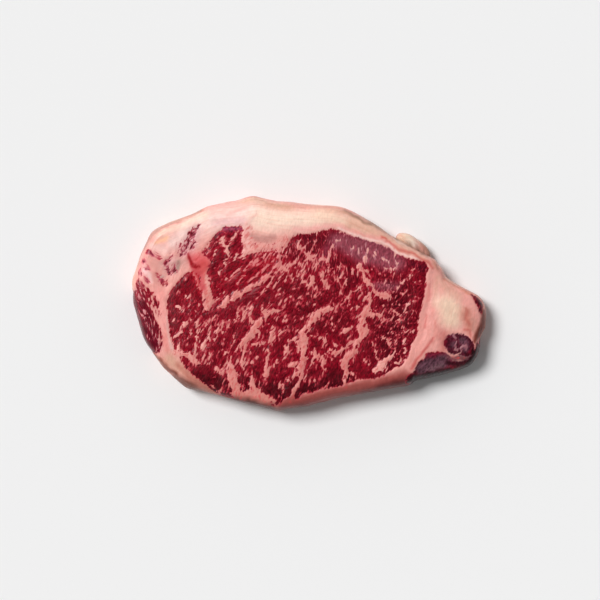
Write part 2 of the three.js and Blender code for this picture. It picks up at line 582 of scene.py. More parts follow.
@dataclass(frozen=True)
class Muscles:
    """Where lean shows: smooth closed outlines seen from above, anticlockwise or clockwise."""

    eye: Outline = (
        (-59.6, 28), (-57, 32), (-54, 36.5), (-50, 40.4), (-46, 42.8), (-41, 42.6), (-37.4, 42.4),
        (-36.6, 36), (-36, 30), (-35, 27), (-31, 28), (-27, 28.8), (-23, 28.6), (-19, 29.6),
        (-15.6, 28), (-14.6, 32.4), (-11, 33.6), (-9.8, 36), (-6, 38.4), (0, 38.6), (6, 40),
        (12, 41.4), (17, 40.6), (21.6, 38.4), (26, 37), (33, 34.8), (40, 33), (46, 30), (51, 26.6),
        (57, 24.4), (62.6, 23.6), (66, 21.8), (66.8, 19), (65.6, 15), (65.3, 9), (64, 1),
        (62.3, -6), (60.9, -11), (61, -15), (59.7, -19.6), (57.3, -24), (56, -29), (53.8, -31.6),
        (52, -34.6), (46.6, -37), (42, -40.6), (36, -42.2), (29, -42.4), (23, -44.8), (16, -47),
        (8, -48), (1.6, -50.2), (-3.4, -50.6), (-6.4, -53.6), (-12, -53), (-16, -56), (-19.6, -59),
        (-21.4, -55), (-23, -51.4), (-28, -50), (-34, -49), (-39, -51), (-43, -54), (-50, -56),
        (-56.4, -52), (-57.4, -46.6), (-61.4, -43), (-66, -39.4), (-69.8, -35), (-72.4, -30.4),
        (-70.4, -27), (-74.6, -26), (-77, -20), (-78.2, -12), (-79.2, -4), (-79.4, 2), (-77, 7.4),
        (-73, 12), (-69, 16.2), (-65, 17.4), (-61, 15.4), (-57.6, 15), (-56.6, 19.5),
        (-55, 23.6),
    )  # fmt: skip
    left_strip: Outline = (
        (-103, 7), (-98, 6.6), (-94.6, 8.4), (-90.4, 8.4), (-88.4, 4.6), (-88.4, -2), (-86.2, -8.4),
        (-83.4, -14.4), (-82, -20), (-82.4, -25), (-85.4, -28.2), (-90, -26), (-97, -24), (-103, -5),
    )  # fmt: skip
    round_muscle: Outline = (
        (75.8, -22), (78, -18.6), (81.4, -17.4), (86, -17.4), (90.4, -19.8), (92.6, -23),
        (93, -27), (90.6, -29.8), (86, -29.4), (80.4, -28.4), (77.4, -25.8),
    )  # fmt: skip
    lower_strip: Outline = (
        (55, -42), (59.4, -38), (60.6, -35), (64.4, -31), (66.6, -28.2), (70, -28), (73, -27.4),
        (77, -28.2), (79.6, -31), (83, -32.6), (87.6, -32.2), (92, -28.6), (95.5, -21.5),
        (103, -22), (100, -38), (88, -46), (60, -52), (55, -47),
    )  # fmt: skip
    # islands of lean in the fat, so shallow that their borders break up into flecks
    islands: tuple[Stroke, ...] = (
        ((-62, 43.4, 1.2), (-65, 39.6, 3.4), (-67.6, 35, 3.8), (-69.4, 29, 2.4)),
        ((-64.4, 34, 1.6), (-66, 30.6, 1.6)),
        ((-72.4, 32.4, 1.6), (-71.6, 27.4, 3)),
        ((-80.4, 22.4, 2), (-77, 25.4, 1.6)),
        ((-79.6, 21, 2.4), (-78.4, 17.4, 3), (-75.4, 18.6, 2.8), (-75.2, 21, 2)),
        ((-77.4, 27.8, 1.6),),
        ((-89.2, 28.8, 3.4), (-87.6, 27.4, 2)),
        ((-86, 28.4, 1.4), (-83.4, 26, 2)),
        ((-84.4, 15, 2), (-83.8, 13.4, 1.6)),
        ((-82.4, 12.8, 2), (-80.4, 10.8, 2)),
        ((-93.4, 24.4, 2.2), (-91, 20, 2.4)),
        ((-95.4, 19, 2.2), (-94, 16, 2)),
        ((-92, 14.6, 1.4), (-90, 12, 1.4)),
        ((-98.4, 13, 2.2), (-97.2, 9.6, 2.6), (-95.4, 7, 2.6)),
        ((-95.4, 12.4, 1.8), (-93.6, 9.6, 2.4), (-91.4, 7.6, 2)),
        ((-87.6, 5, 1.4), (-86, 0, 2.2), (-84, -5.4, 1.6)),
        ((-38.4, 42.8, 1.6), (-41, 41, 2)),
        ((-29, 33, 1.6), (-25, 31.4, 2.2), (-20, 31.8, 2)),
    )
    tail_arc: Stroke = ((92, 5, 1.8), (94.8, 2, 3.6), (97.2, -2.4, 4.6), (98, -6, 2.6))
    island_slope: float = 0.4  # how fast an island deepens from its edge
    island_inset: float = 0.18  # mm that it is shallower by
    closing: float = 7.0  # mm by which lean gives way to fat on the side
    arc_closing: float = 3.0  # and the arc at the tail, which shows there a little

    def depth(self, x: Array, y: Array, side: Array) -> tuple[Array, Array]:
        """How deep points lie in lean.

        On the side, fat closes over the eye, the round muscle and the islands, and partly
        over the arc at the tail. The two strips of muscle come out there.

        Args:
            x: the points' x in mm.
            y: their y.
            side: 1 where the skin is the slice's side.

        Returns:
            The depth in any lean and the depth in the eye muscle alone, in mm.
        """
        eye = inside_distance(x, y, self.eye)
        lean = np.maximum(eye, inside_distance(x, y, self.round_muscle))
        for stroke in self.islands:
            depth = self.island_slope * stroke_depth(x, y, stroke) - self.island_inset
            lean = np.maximum(lean, depth)
        arc = stroke_depth(x, y, self.tail_arc) - self.arc_closing * side
        lean = np.maximum(lean - self.closing * side, arc)
        for knots in (self.left_strip, self.lower_strip):
            lean = np.maximum(lean, inside_distance(x, y, knots))
        return lean, eye


# fmt: off
VEINS: dict[str, Stroke] = {
    "notch in the west": ((-61.5, 25, 6), (-59.5, 18, 4.5), (-58.5, 13, 4.8), (-56.8, 7, 6.2),
        (-55.8, 1, 6), (-57, -3, 3.6), (-59.5, -5, 1)),
    "right of the notch": ((-50.5, -3, 1.6), (-47, -0.5, 3.4), (-45.2, 3.5, 2.2)),
    "streak in the west lobe": ((-64.2, 17, 1.4), (-62.4, 12, 2), (-61, 8, 1.2)),
    "cap inlet": ((-34.5, 40, 6), (-34.8, 33, 5), (-35.8, 28, 3), (-37.2, 24, 1)),
    "ledge under the cap": ((-33, 32, 6), (-26.5, 32, 5), (-20, 32, 4)),
    "split of the upper lobe": ((-48, 36.5, 1.6), (-47.8, 33, 1.6), (-46.2, 31, 2.2),
        (-45.8, 27.5, 2), (-46.8, 23, 1.4), (-49, 19, 1.6), (-50.5, 16, 0.6)),
    "trunk from the cap": ((-17, 33, 3.2), (-16.8, 27, 2.4), (-17, 22, 3), (-15.6, 19, 2.6)),
    "right of the trunk": ((-15, 20, 2.4), (-11.5, 18.2, 1.6), (-9.6, 16, 1.6), (-8.6, 12.5, 0.8)),
    "seam": ((-17.5, 21, 2.4), (-21, 17, 1.8), (-24, 13.5, 4.2), (-27.5, 11, 2.6), (-33, 8.5, 3.2),
        (-37.5, 5.5, 3.4), (-40.5, 4.5, 5.6), (-43, 1.5, 2)),
    "over the seam": ((-19.5, 24, 0.8), (-25, 19.5, 1.6), (-30, 14.5, 1.2), (-34, 12, 0.8)),
    "under the seam": ((-18, 17, 0.8), (-22.5, 9, 1.2), (-27, 5, 0.8)),
    "fork, left arm": ((-29.5, 0.5, 1), (-32.5, -3.5, 2.4), (-34, -7, 2), (-31.5, -10, 2.6)),
    "fork, right arm": ((-28, -11.5, 4.6), (-25, -9.5, 3), (-22.5, -6, 3), (-20.5, -3.5, 1.8),
        (-17, -4.8, 1)),
    "fork stub": ((-26.2, -3.2, 2), (-24, -6, 2.2)),
    "fork leg": ((-28.5, -13, 4.6), (-31, -16.5, 4.8), (-34.5, -19.5, 4), (-37.5, -22.5, 3.4),
        (-39, -26, 2.2), (-41.2, -28.2, 0.8)),
    "fork spur": ((-28, -15, 2), (-27, -19.2, 1)),
    "fork, lower leg": ((-36, -24, 2), (-36.4, -30, 2.2), (-37, -35, 3), (-35.4, -39, 1)),
    "fork, slanting twig": ((-37.5, -35.5, 1.4), (-33.5, -34.2, 1), (-29.2, -30.8, 1.8)),
    "fork, right leg": ((-23.5, -10.5, 1.2), (-21, -13, 1), (-20.6, -16, 2), (-21.8, -20, 2.5),
        (-22.5, -26, 2), (-23, -30.5, 1.4), (-22.6, -34.5, 3.2), (-24, -39, 2.6),
        (-25.2, -44, 1.2)),
    "crossbar": ((-31, -23.6, 2), (-27, -23, 1.8), (-23.5, -21, 1.5)),
    "lower left": ((-43.6, -35.5, 3.6), (-43, -40, 6.4), (-42, -45, 5.4), (-40.5, -50, 6.4)),
    "lower left wing": ((-46, -38, 3), (-49.5, -39.2, 1.6), (-52, -37.5, 2.6),
        (-50.6, -34.8, 1.2)),
    "lower middle": ((-32.6, -41, 1.6), (-31.6, -45, 4), (-29.8, -49.5, 5)),
    "base band": ((-40, -51.5, 5), (-34, -49.5, 2.4), (-30, -50, 3), (-25, -52.5, 3.6),
        (-20, -55, 3)),
    "bottom left band": ((-75.5, -27.5, 3), (-70, -28.6, 3), (-66, -29.5, 4.6),
        (-62.6, -33.5, 2.8)),
    "bottom left twig": ((-69, -12, 2.4), (-71, -15.5, 2.4), (-75, -18.5, 1.2)),
    "bottom left root": ((-72.6, -19, 1.2), (-73.4, -27, 2.2)),
    "bottom left stub": ((-63.6, -23.5, 1.2), (-64.4, -28, 3.4)),
    "middle, top": ((14, -4, 2), (11.6, -2, 2.8), (9.4, -4.6, 2.8), (5, -6, 4), (2.4, -9, 4),
        (0.8, -12.5, 3), (-2.5, -15.5, 3), (-4, -18.5, 3.4)),
    "middle, stub": ((5.2, -4, 2), (3.6, -1, 1)),
    "middle, left branch": ((-5, -18, 1.8), (-9, -21.5, 1.8), (-11.8, -25, 2.2), (-12, -28, 2.4),
        (-14, -32, 0.8)),
    "middle": ((-2.6, -19.5, 4.6), (-2.5, -24, 4.6), (-2.5, -28, 4.2), (-3.6, -33, 4),
        (-5.2, -37, 4.4), (-7.2, -40, 3.4), (-12, -43.5, 1.4), (-15, -47, 0.8)),
    "middle, left side": ((-5.4, -22, 2.6), (-5.8, -27, 1.4)),
    "middle, corner": ((-10, -34.6, 2.4), (-7, -34, 2.6)),
    "middle, foot": ((-4.6, -40, 2), (-5.8, -44, 1.6), (-8, -49, 2.4), (-9, -54, 3)),
    "fork in the south": ((2.4, -27.4, 1.8), (4.6, -29.6, 3.4), (7.4, -30.6, 3), (8, -34, 2.2),
        (9.6, -39, 0.9)),
    "its left leg": ((3, -30.5, 1.8), (0.4, -35.5, 0.8)),
    "patch in the south": ((12.6, -27, 2.4), (15.6, -28, 3.4), (18.6, -26.4, 2.2),
        (21.4, -24, 1.2)),
    "patch above it": ((19, -17, 1.8), (20.4, -15.2, 3), (24.2, -13.2, 1)),
    "east, top": ((33.4, 30.4, 1), (31.6, 26, 2), (30.6, 22, 2)),
    "east, knot": ((28.2, 21.4, 3.2), (28.6, 18.6, 3), (31.4, 17.4, 2.8), (32.2, 14.6, 3.4),
        (32.8, 12.2, 3.2), (35.6, 10.6, 1.8), (37, 7.6, 2.2)),
    "east, patch": ((36.8, 6.6, 2.2), (40.4, 5.2, 3.8), (43.4, 3.8, 4), (45.4, 2.6, 2)),
    "east, neck": ((34.6, 8, 1.8), (34.6, 2, 2.6), (34, -2, 3), (33, -4.8, 4), (30.6, -8, 3.4),
        (30, -12, 3.8), (30.4, -16, 6), (30, -18.8, 5)),
    "east, foot": ((27.2, -21, 3), (26.6, -24, 4), (25.4, -27, 4.4), (22.6, -30, 4.2),
        (20.4, -33.5, 5.2), (21, -37, 3.8), (21, -41, 2.8), (20.4, -46, 3)),
    "east, right arm": ((34, -5.6, 3), (37, -6.6, 2.4), (40, -7, 3.4), (43, -9, 1)),
    "east, right spur": ((40.8, -5.4, 2), (42.2, -1.2, 0.8)),
    "east, left arm": ((32, -6, 2), (28, -7, 1.2), (25.6, -8.8, 0.6)),
    "east, upper left arm": ((34, 10.8, 2), (29.5, 9.2, 1.2), (26.4, 8, 1.2), (24.6, 6, 0.8)),
    "east, small arm": ((33.4, 4.2, 1), (31, 2.6, 1.2), (29.4, 0.8, 0.8)),
    "lower right": ((37.4, -37.8, 3.4), (39.4, -36.2, 5), (42.4, -33.4, 3.8), (46.2, -29.8, 1.8),
        (48, -28, 0.8)),
    "lower right patch": ((30.6, -31.4, 1.8), (32.4, -34.4, 1.8)),
    "ring in the lower right": ((48, -34.2, 1), (50.6, -33, 1.8), (52.2, -31.6, 1)),
    "north": ((17.6, 35, 1.2), (14.6, 35, 1.4), (13.4, 32, 1.4), (11.6, 28, 1.8), (11, 24.4, 2.6),
        (10.4, 21.6, 1)),
    "north patch": ((-5.6, 34.4, 2.2), (-5.2, 31.4, 3.2)),
    "north ring": ((-2.6, 29.6, 1.6), (-0.6, 27.2, 1.4), (2.4, 26, 1.2), (5.4, 26.4, 1)),
    "north corner": ((-12.4, 35, 4), (-14, 31.4, 3), (-14.6, 28.6, 1.6)),
    "north middle": ((-4.6, 22.4, 1.4), (-2.2, 20.6, 2), (-3.8, 17, 1), (-6, 15, 1.2)),
    "patch under it": ((1.6, 14.6, 2.8), (2, 12, 3), (0, 9.4, 2.6), (-0.6, 7.2, 1)),
    "right of it": ((7.6, 17.4, 1.4), (7, 14.4, 1.8), (8.8, 11.6, 2), (9.2, 9.4, 0.8)),
    "seam in the round muscle": ((79, -21, 1), (81.2, -19.2, 1.2), (82.8, -21, 1),
        (82.8, -25.4, 1.8), (84.8, -27.6, 1.6)),
    "its right end": ((85.4, -25.4, 1.6), (88, -23.8, 2), (88.8, -26.6, 1.4)),
    "membrane under it": ((78.4, -30, 1.4), (83, -31.4, 2.2), (88.4, -31.2, 1.4)),
    "lower membrane": ((80, -36.2, 1), (84, -37, 1.2), (88, -34.8, 1)),
    "twigs in the north-east": ((16.8, 20, 1.2), (18.8, 18, 1.8), (18, 14.8, 1.8),
        (15.8, 11.6, 0.8)),
}
STREAKS: tuple[Stroke, ...] = (
    # in the eye muscle
    ((-69.6, 3.6, 1.2), (-67, 2, 1)), ((-73.6, -2, 2), (-72, -3.4, 2.4)),
    ((-67.2, -1, 1), (-66.6, -3, 1)), ((-61.8, -1, 0.8), (-63.6, -4.6, 1)),
    ((-61.6, -9, 1.6), (-63.4, -13, 2.2)), ((-66.4, -9.4, 1.4),),
    ((-59.4, -11.6, 0.8), (-62, -17, 1.1)), ((-62.4, -19.4, 1.2), (-62.4, -22, 1.8)),
    ((-66, -17.6, 1.5),), ((-54.4, -15, 0.8), (-56.6, -20, 2), (-59.6, -25, 2.8)),
    ((-48.4, -11, 1.8), (-51, -15.6, 2.4), (-52.6, -20.6, 1.2)),
    ((-45, -9.6, 0.9), (-47.6, -17, 1)), ((-41, -16, 0.8), (-44, -23, 1.2)),
    ((-36.6, -2.4, 0.8), (-41.4, -9, 1.2)), ((-35, -3.4, 0.8), (-37.2, -8, 1)),
    ((-46.8, -27.6, 1.8), (-47.4, -29, 1)), ((-55.6, -27, 0.8), (-56.4, -34, 1)),
    ((-43.4, -30, 0.8), (-44.2, -34, 1.4)), ((-41.2, 39, 0.8), (-44.4, 33.4, 1.2)),
    ((-56, 33, 0.6), (-58.4, 29, 0.9)), ((-51.6, 30, 0.6), (-53.4, 26, 0.8)),
    ((-40.4, 27.6, 1), (-41.6, 24, 0.8)), ((-45, 15.4, 0.8), (-50.6, 9.6, 1.1)),
    ((-38, 20, 0.8), (-43.4, 15, 1)), ((-36, 15.4, 1), (-40.6, 10.4, 1.2)),
    ((-24, 27.6, 1.2), (-29, 22.4, 1)), ((-30.6, 24, 0.6), (-36.6, 18.4, 1)),
    ((-47, 6.6, 0.8), (-52.4, 1, 1)), ((-12.6, 24, 0.8), (-12.2, 20.6, 1.2)),
    ((-8, 24, 0.8), (-7.6, 21, 1.2)), ((-12.4, 15.6, 0.8), (-12.4, 12.8, 1.2)),
    ((4.4, 21.4, 1.2), (5, 19.6, 1)), ((2.2, 24, 0.8), (3, 21, 0.6)),
    ((14.4, 17, 1), (13, 15.4, 1)), ((23.8, 31.4, 0.9), (22.6, 27.2, 1.2)),
    ((24.6, 19.4, 1), (24.4, 16.4, 1.2)), ((21.4, 14, 1.4), (20.2, 10.8, 1)),
    ((48.4, 29.4, 1), (49, 26.6, 1.2)), ((48.4, 23.4, 1), (48.8, 20, 1.3), (48, 16.4, 0.7)),
    ((36.4, 20, 1), (35.4, 17, 1.4)), ((46, 19.6, 0.9), (47, 17, 1.1)), ((37.8, 27.6, 1.3),),
    ((41.8, 25.2, 0.7), (44, 22, 0.9)),
    ((51.8, 11.4, 1.8), (54.6, 13.2, 2), (57.6, 16.2, 1.8), (59, 19.2, 1)), ((59.4, 12, 1.4),),
    ((50.4, 8.6, 1.1), (47.4, 6.2, 0.9)), ((54.8, -1, 1.4), (57.4, 1, 1.8), (59.8, 1.8, 0.8)),
    ((52.6, -4.4, 1.3), (54.2, -2.6, 1.6)),
    ((46.4, -4.4, 1.6), (48.6, -5.6, 1.8), (50.8, -7.2, 1.2)), ((27, -2.6, 2), (24, -3.6, 1)),
    ((21, 2.4, 0.8), (22.6, -1, 1)), ((13, -12, 2), (13.6, -14, 1.8)),
    ((6, -17.2, 1.4), (6.6, -19.2, 2)), ((1.4, -18.4, 1.6),), ((10.8, -17.6, 0.8), (9, -23, 1.2)),
    ((41, -19.2, 1.4), (43.6, -20.8, 1.6)), ((36.6, -21.6, 0.9), (38.4, -24.4, 1.1)),
    ((51, -9.6, 1.6),), ((52.6, -16.6, 1.8), (50.6, -17, 1)),
    ((58.8, -14.4, 0.8), (57.4, -18.4, 1.3)), ((54.4, -19.6, 0.9), (53.6, -23, 1.5)),
    ((54, -25.6, 1.2), (54, -29, 1.4)), ((45.6, -24.6, 1.5), (48, -22, 0.8)),
    ((37, -26, 1.5), (38.6, -31, 1)), ((-12.2, -6.2, 1), (-14, -10, 1.4)),
    ((-12.8, -13.4, 1.4), (-16.4, -17.4, 1.6)), ((-6.8, -14.4, 1.5), (-5.4, -16.4, 1)),
    ((-2, -7, 0.8), (-3.8, -8.6, 1)), ((-10, 4, 0.8), (-10.4, 2, 1.2)),
    ((-16.6, 4.8, 1.4), (-18.6, 3.8, 1)), ((-1.2, 0.8, 1.5),), ((-11, -20, 1), (-13.6, -24, 1)),
    ((-17.4, -31.6, 0.8), (-18.4, -34.4, 1)), ((-16, -45, 1.6), (-15, -50, 1.4)),
    ((4.6, -40.8, 1), (3, -44, 1.2)), ((-1.4, -38, 0.7), (-3.4, -43, 1)),
    ((13.6, -21.4, 1), (15.2, -24.4, 1.5)), ((23.6, -38.8, 0.8), (26, -41, 1.4)),
    ((12.4, -33, 0.8), (13.6, -31, 1.1)), ((-54.4, -45.6, 1), (-53.4, -48, 0.8)),
    ((-27.6, -44, 0.8), (-28.4, -47, 1.2)),
    # in the left muscle
    ((-97.8, 4.6, 1), (-95.4, 2, 1.1)), ((-97.2, 1.6, 0.9), (-95.6, 0.6, 0.9)),
    ((-96.4, -2.4, 0.8), (-95, -5, 1.5), (-93.8, -7.4, 0.8)), ((-92.8, 9, 0.9), (-91.2, 7, 1.2)),
    ((-91.6, 4.6, 1), (-89.8, 2.2, 1.2)), ((-94.4, 5.2, 1), (-92.6, 2.8, 1)),
    ((-90, 1, 0.8), (-90.4, -1.4, 0.9)), ((-93, -4.2, 1.6), (-91.4, -5.8, 2)),
    ((-92, -8.6, 0.8), (-90, -8.8, 0.9)), ((-91.2, -11.6, 0.8), (-89.2, -12.6, 1)),
    ((-88.8, -9.6, 1), (-88.2, -11, 1.1)), ((-88.8, -14.6, 1), (-86, -18.8, 1.2)),
    ((-89.4, -18.6, 1), (-88.8, -20, 1)), ((-84.8, -20.8, 1.2), (-82, -21.4, 1.6)),
    ((-83.6, -25.4, 1),),
)
# Where a tissue's colour differs, from its own tones and stains and, along some edges, from
# painted shade: colour, strength, softness and stroke. Later ones are painted over earlier ones
LEAN_STAINS_AND_SHADE = (
    # broad tones of the eye muscle
    StainAndShade("#8C0B1C", 0.8, 9, ((-66, 4, 6), (-40, 16, 10), (-12, 20, 8))),
    StainAndShade("#700817", 0.7, 8, ((-14, 10, 10), (4, 2, 10))),
    StainAndShade("#3E040D", 0.9, 9, ((-62, -44, 8), (-20, -52, 10), (20, -44, 8))),
    StainAndShade("#5C0612", 0.7, 8, ((0, -6, 10), (14, -10, 12))),
    StainAndShade("#4C0713", 0.8, 9, ((50, 8, 10), (48, -10, 16), (44, -30, 14))),
    StainAndShade("#600817", 0.7, 6, ((-8, 28, 8), (10, 26, 8), (22, 14, 8))),
    StainAndShade("#5E0B19", 0.8, 4, ((0, 36, 6), (14, 36, 6))),
    # dull and violet patches in its north
    StainAndShade("#94424F", 1, 3.5, ((15, 35, 9), (24, 32.4, 13), (34, 29.4, 16), (44, 26, 15),
        (51, 22.4, 8))),
    StainAndShade("#92404C", 0.85, 2.4, ((38, 10.4, 4), (43, 9.4, 6), (49, 9.4, 4))),
    StainAndShade("#8E3848", 0.8, 2.5, ((9.4, 30, 4), (8, 25, 3))),
    StainAndShade("#5C0F20", 0.8, 2, ((58, 22, 3), (64, 20, 4))),
    StainAndShade("#98445C", 0.9, 2, ((-51, 40, 3), (-44, 42, 3.4), (-38, 42, 3))),
    # the left muscle, and the islands and flecks beside it
    StainAndShade("#5E061A", 0.9, 5, ((-95, -2, 10), (-86, -28, 12))),
    StainAndShade("#741A2C", 0.9, 4, ((-60, 43, 6), (-69, 30, 8), (-79, 20, 8))),
    StainAndShade("#A83C50", 0.95, 3, ((-86, 28, 7), (-93, 22, 8), (-90, 13, 6), (-82, 13, 3))),
    # the arc at the tail's end
    StainAndShade("#5A081A", 0.9, 2, ((92, 4, 4), (97.5, -5, 6))),
    # the small round muscle
    StainAndShade("#4C1524", 0.95, 2, ((84.4, -23.4, 16),)),
    StainAndShade("#5E3642", 0.95, 1, ((80.8, -23.4, 3.6),)),
    StainAndShade("#623A46", 0.95, 1, ((86.6, -21.4, 4.6), (88.6, -26, 3.6))),
    # the strip under the tail, with its dark border; the near-black bands along its rim and down its
    # side are partly its own dark tone and partly painted shade
    StainAndShade("#66434F", 0.95, 2.5, ((64, -36, 10), (75, -33, 10))),
    StainAndShade("#3C0A16", 0.9, 1, ((59.4, -37.8, 1.4), (61.4, -33.8, 1.4), (65, -30.6, 1.2))),
    StainAndShade("#7C2238", 0.9, 1.8, ((65.6, -30, 3), (70.4, -29.4, 2.6))),
    StainAndShade("#420A16", 1, 1.5, ((54, -43, 3), (59, -40, 3), (56, -48, 5)), runs=True),
    StainAndShade("#8C636C", 0.85, 1.4, ((68, -37.4, 2), (75, -35.4, 3))),
    StainAndShade("#3C0F1A", 0.9, 1.5, ((78, -33, 3), (84, -34, 4), (90, -31, 4))),
    # partly painted shade: the rim round the lower right darkened almost to black
    StainAndShade("#32080F", 1, 1.5, ((58, -49.6, 10), (64, -47.6, 10), (87, -41.8, 10), (97.8, -33.6, 10),
        (102.4, -20, 9))),
    # partly painted shade: the same darkening carried down the side below the strip
    StainAndShade("#2C070F", 0.95, 1, ((56, -43.4, 3), (66, -41, 3), (76, -39.4, 3), (86, -37.6, 3.6),
        (93, -31, 4), (94, -24, 2.4)), runs=True),
    # beside the red notch
    StainAndShade("#9C1020", 0.8, 2, ((-65, 18, 4), (-63, 13, 4), (-61, 8, 3))),
)
THIN_STAINS = (
    # the dull patches
    StainAndShade("#B4707A", 0.95, 3, ((15, 35, 9), (24, 32.4, 13), (34, 29.4, 16), (44, 26, 15),
        (51, 22.4, 8))),
    StainAndShade("#A65A66", 0.9, 3, ((38, 10.4, 4), (43, 9.4, 6), (49, 9.4, 4))),
    # the islands and the smaller muscles
    StainAndShade("#BA5E6A", 0.9, 4, ((-60, 43, 6), (-69, 30, 8), (-79, 20, 8))),
    StainAndShade("#962438", 0.8, 4, ((-97, 8, 8), (-86, -28, 10))),
    StainAndShade("#854650", 1, 2, ((84.4, -23.4, 18),)),
    StainAndShade("#6A3A44", 1, 2.5, ((62, -38, 8), (76, -34, 12), (92, -31, 8))),
    StainAndShade("#D06C76", 0.95, 3, ((-86, 28, 7), (-93, 22, 8), (-90, 13, 6), (-82, 13, 3))),
    # the seam in the west and the red notch
    StainAndShade("#BE2A36", 0.8, 4, ((-42, 12, 6), (-31, 18, 12), (-20, 25, 10))),
    StainAndShade("#C02A34", 0.9, 1.6, ((-65, 19, 4), (-63, 13, 4), (-61, 8, 3))),
)
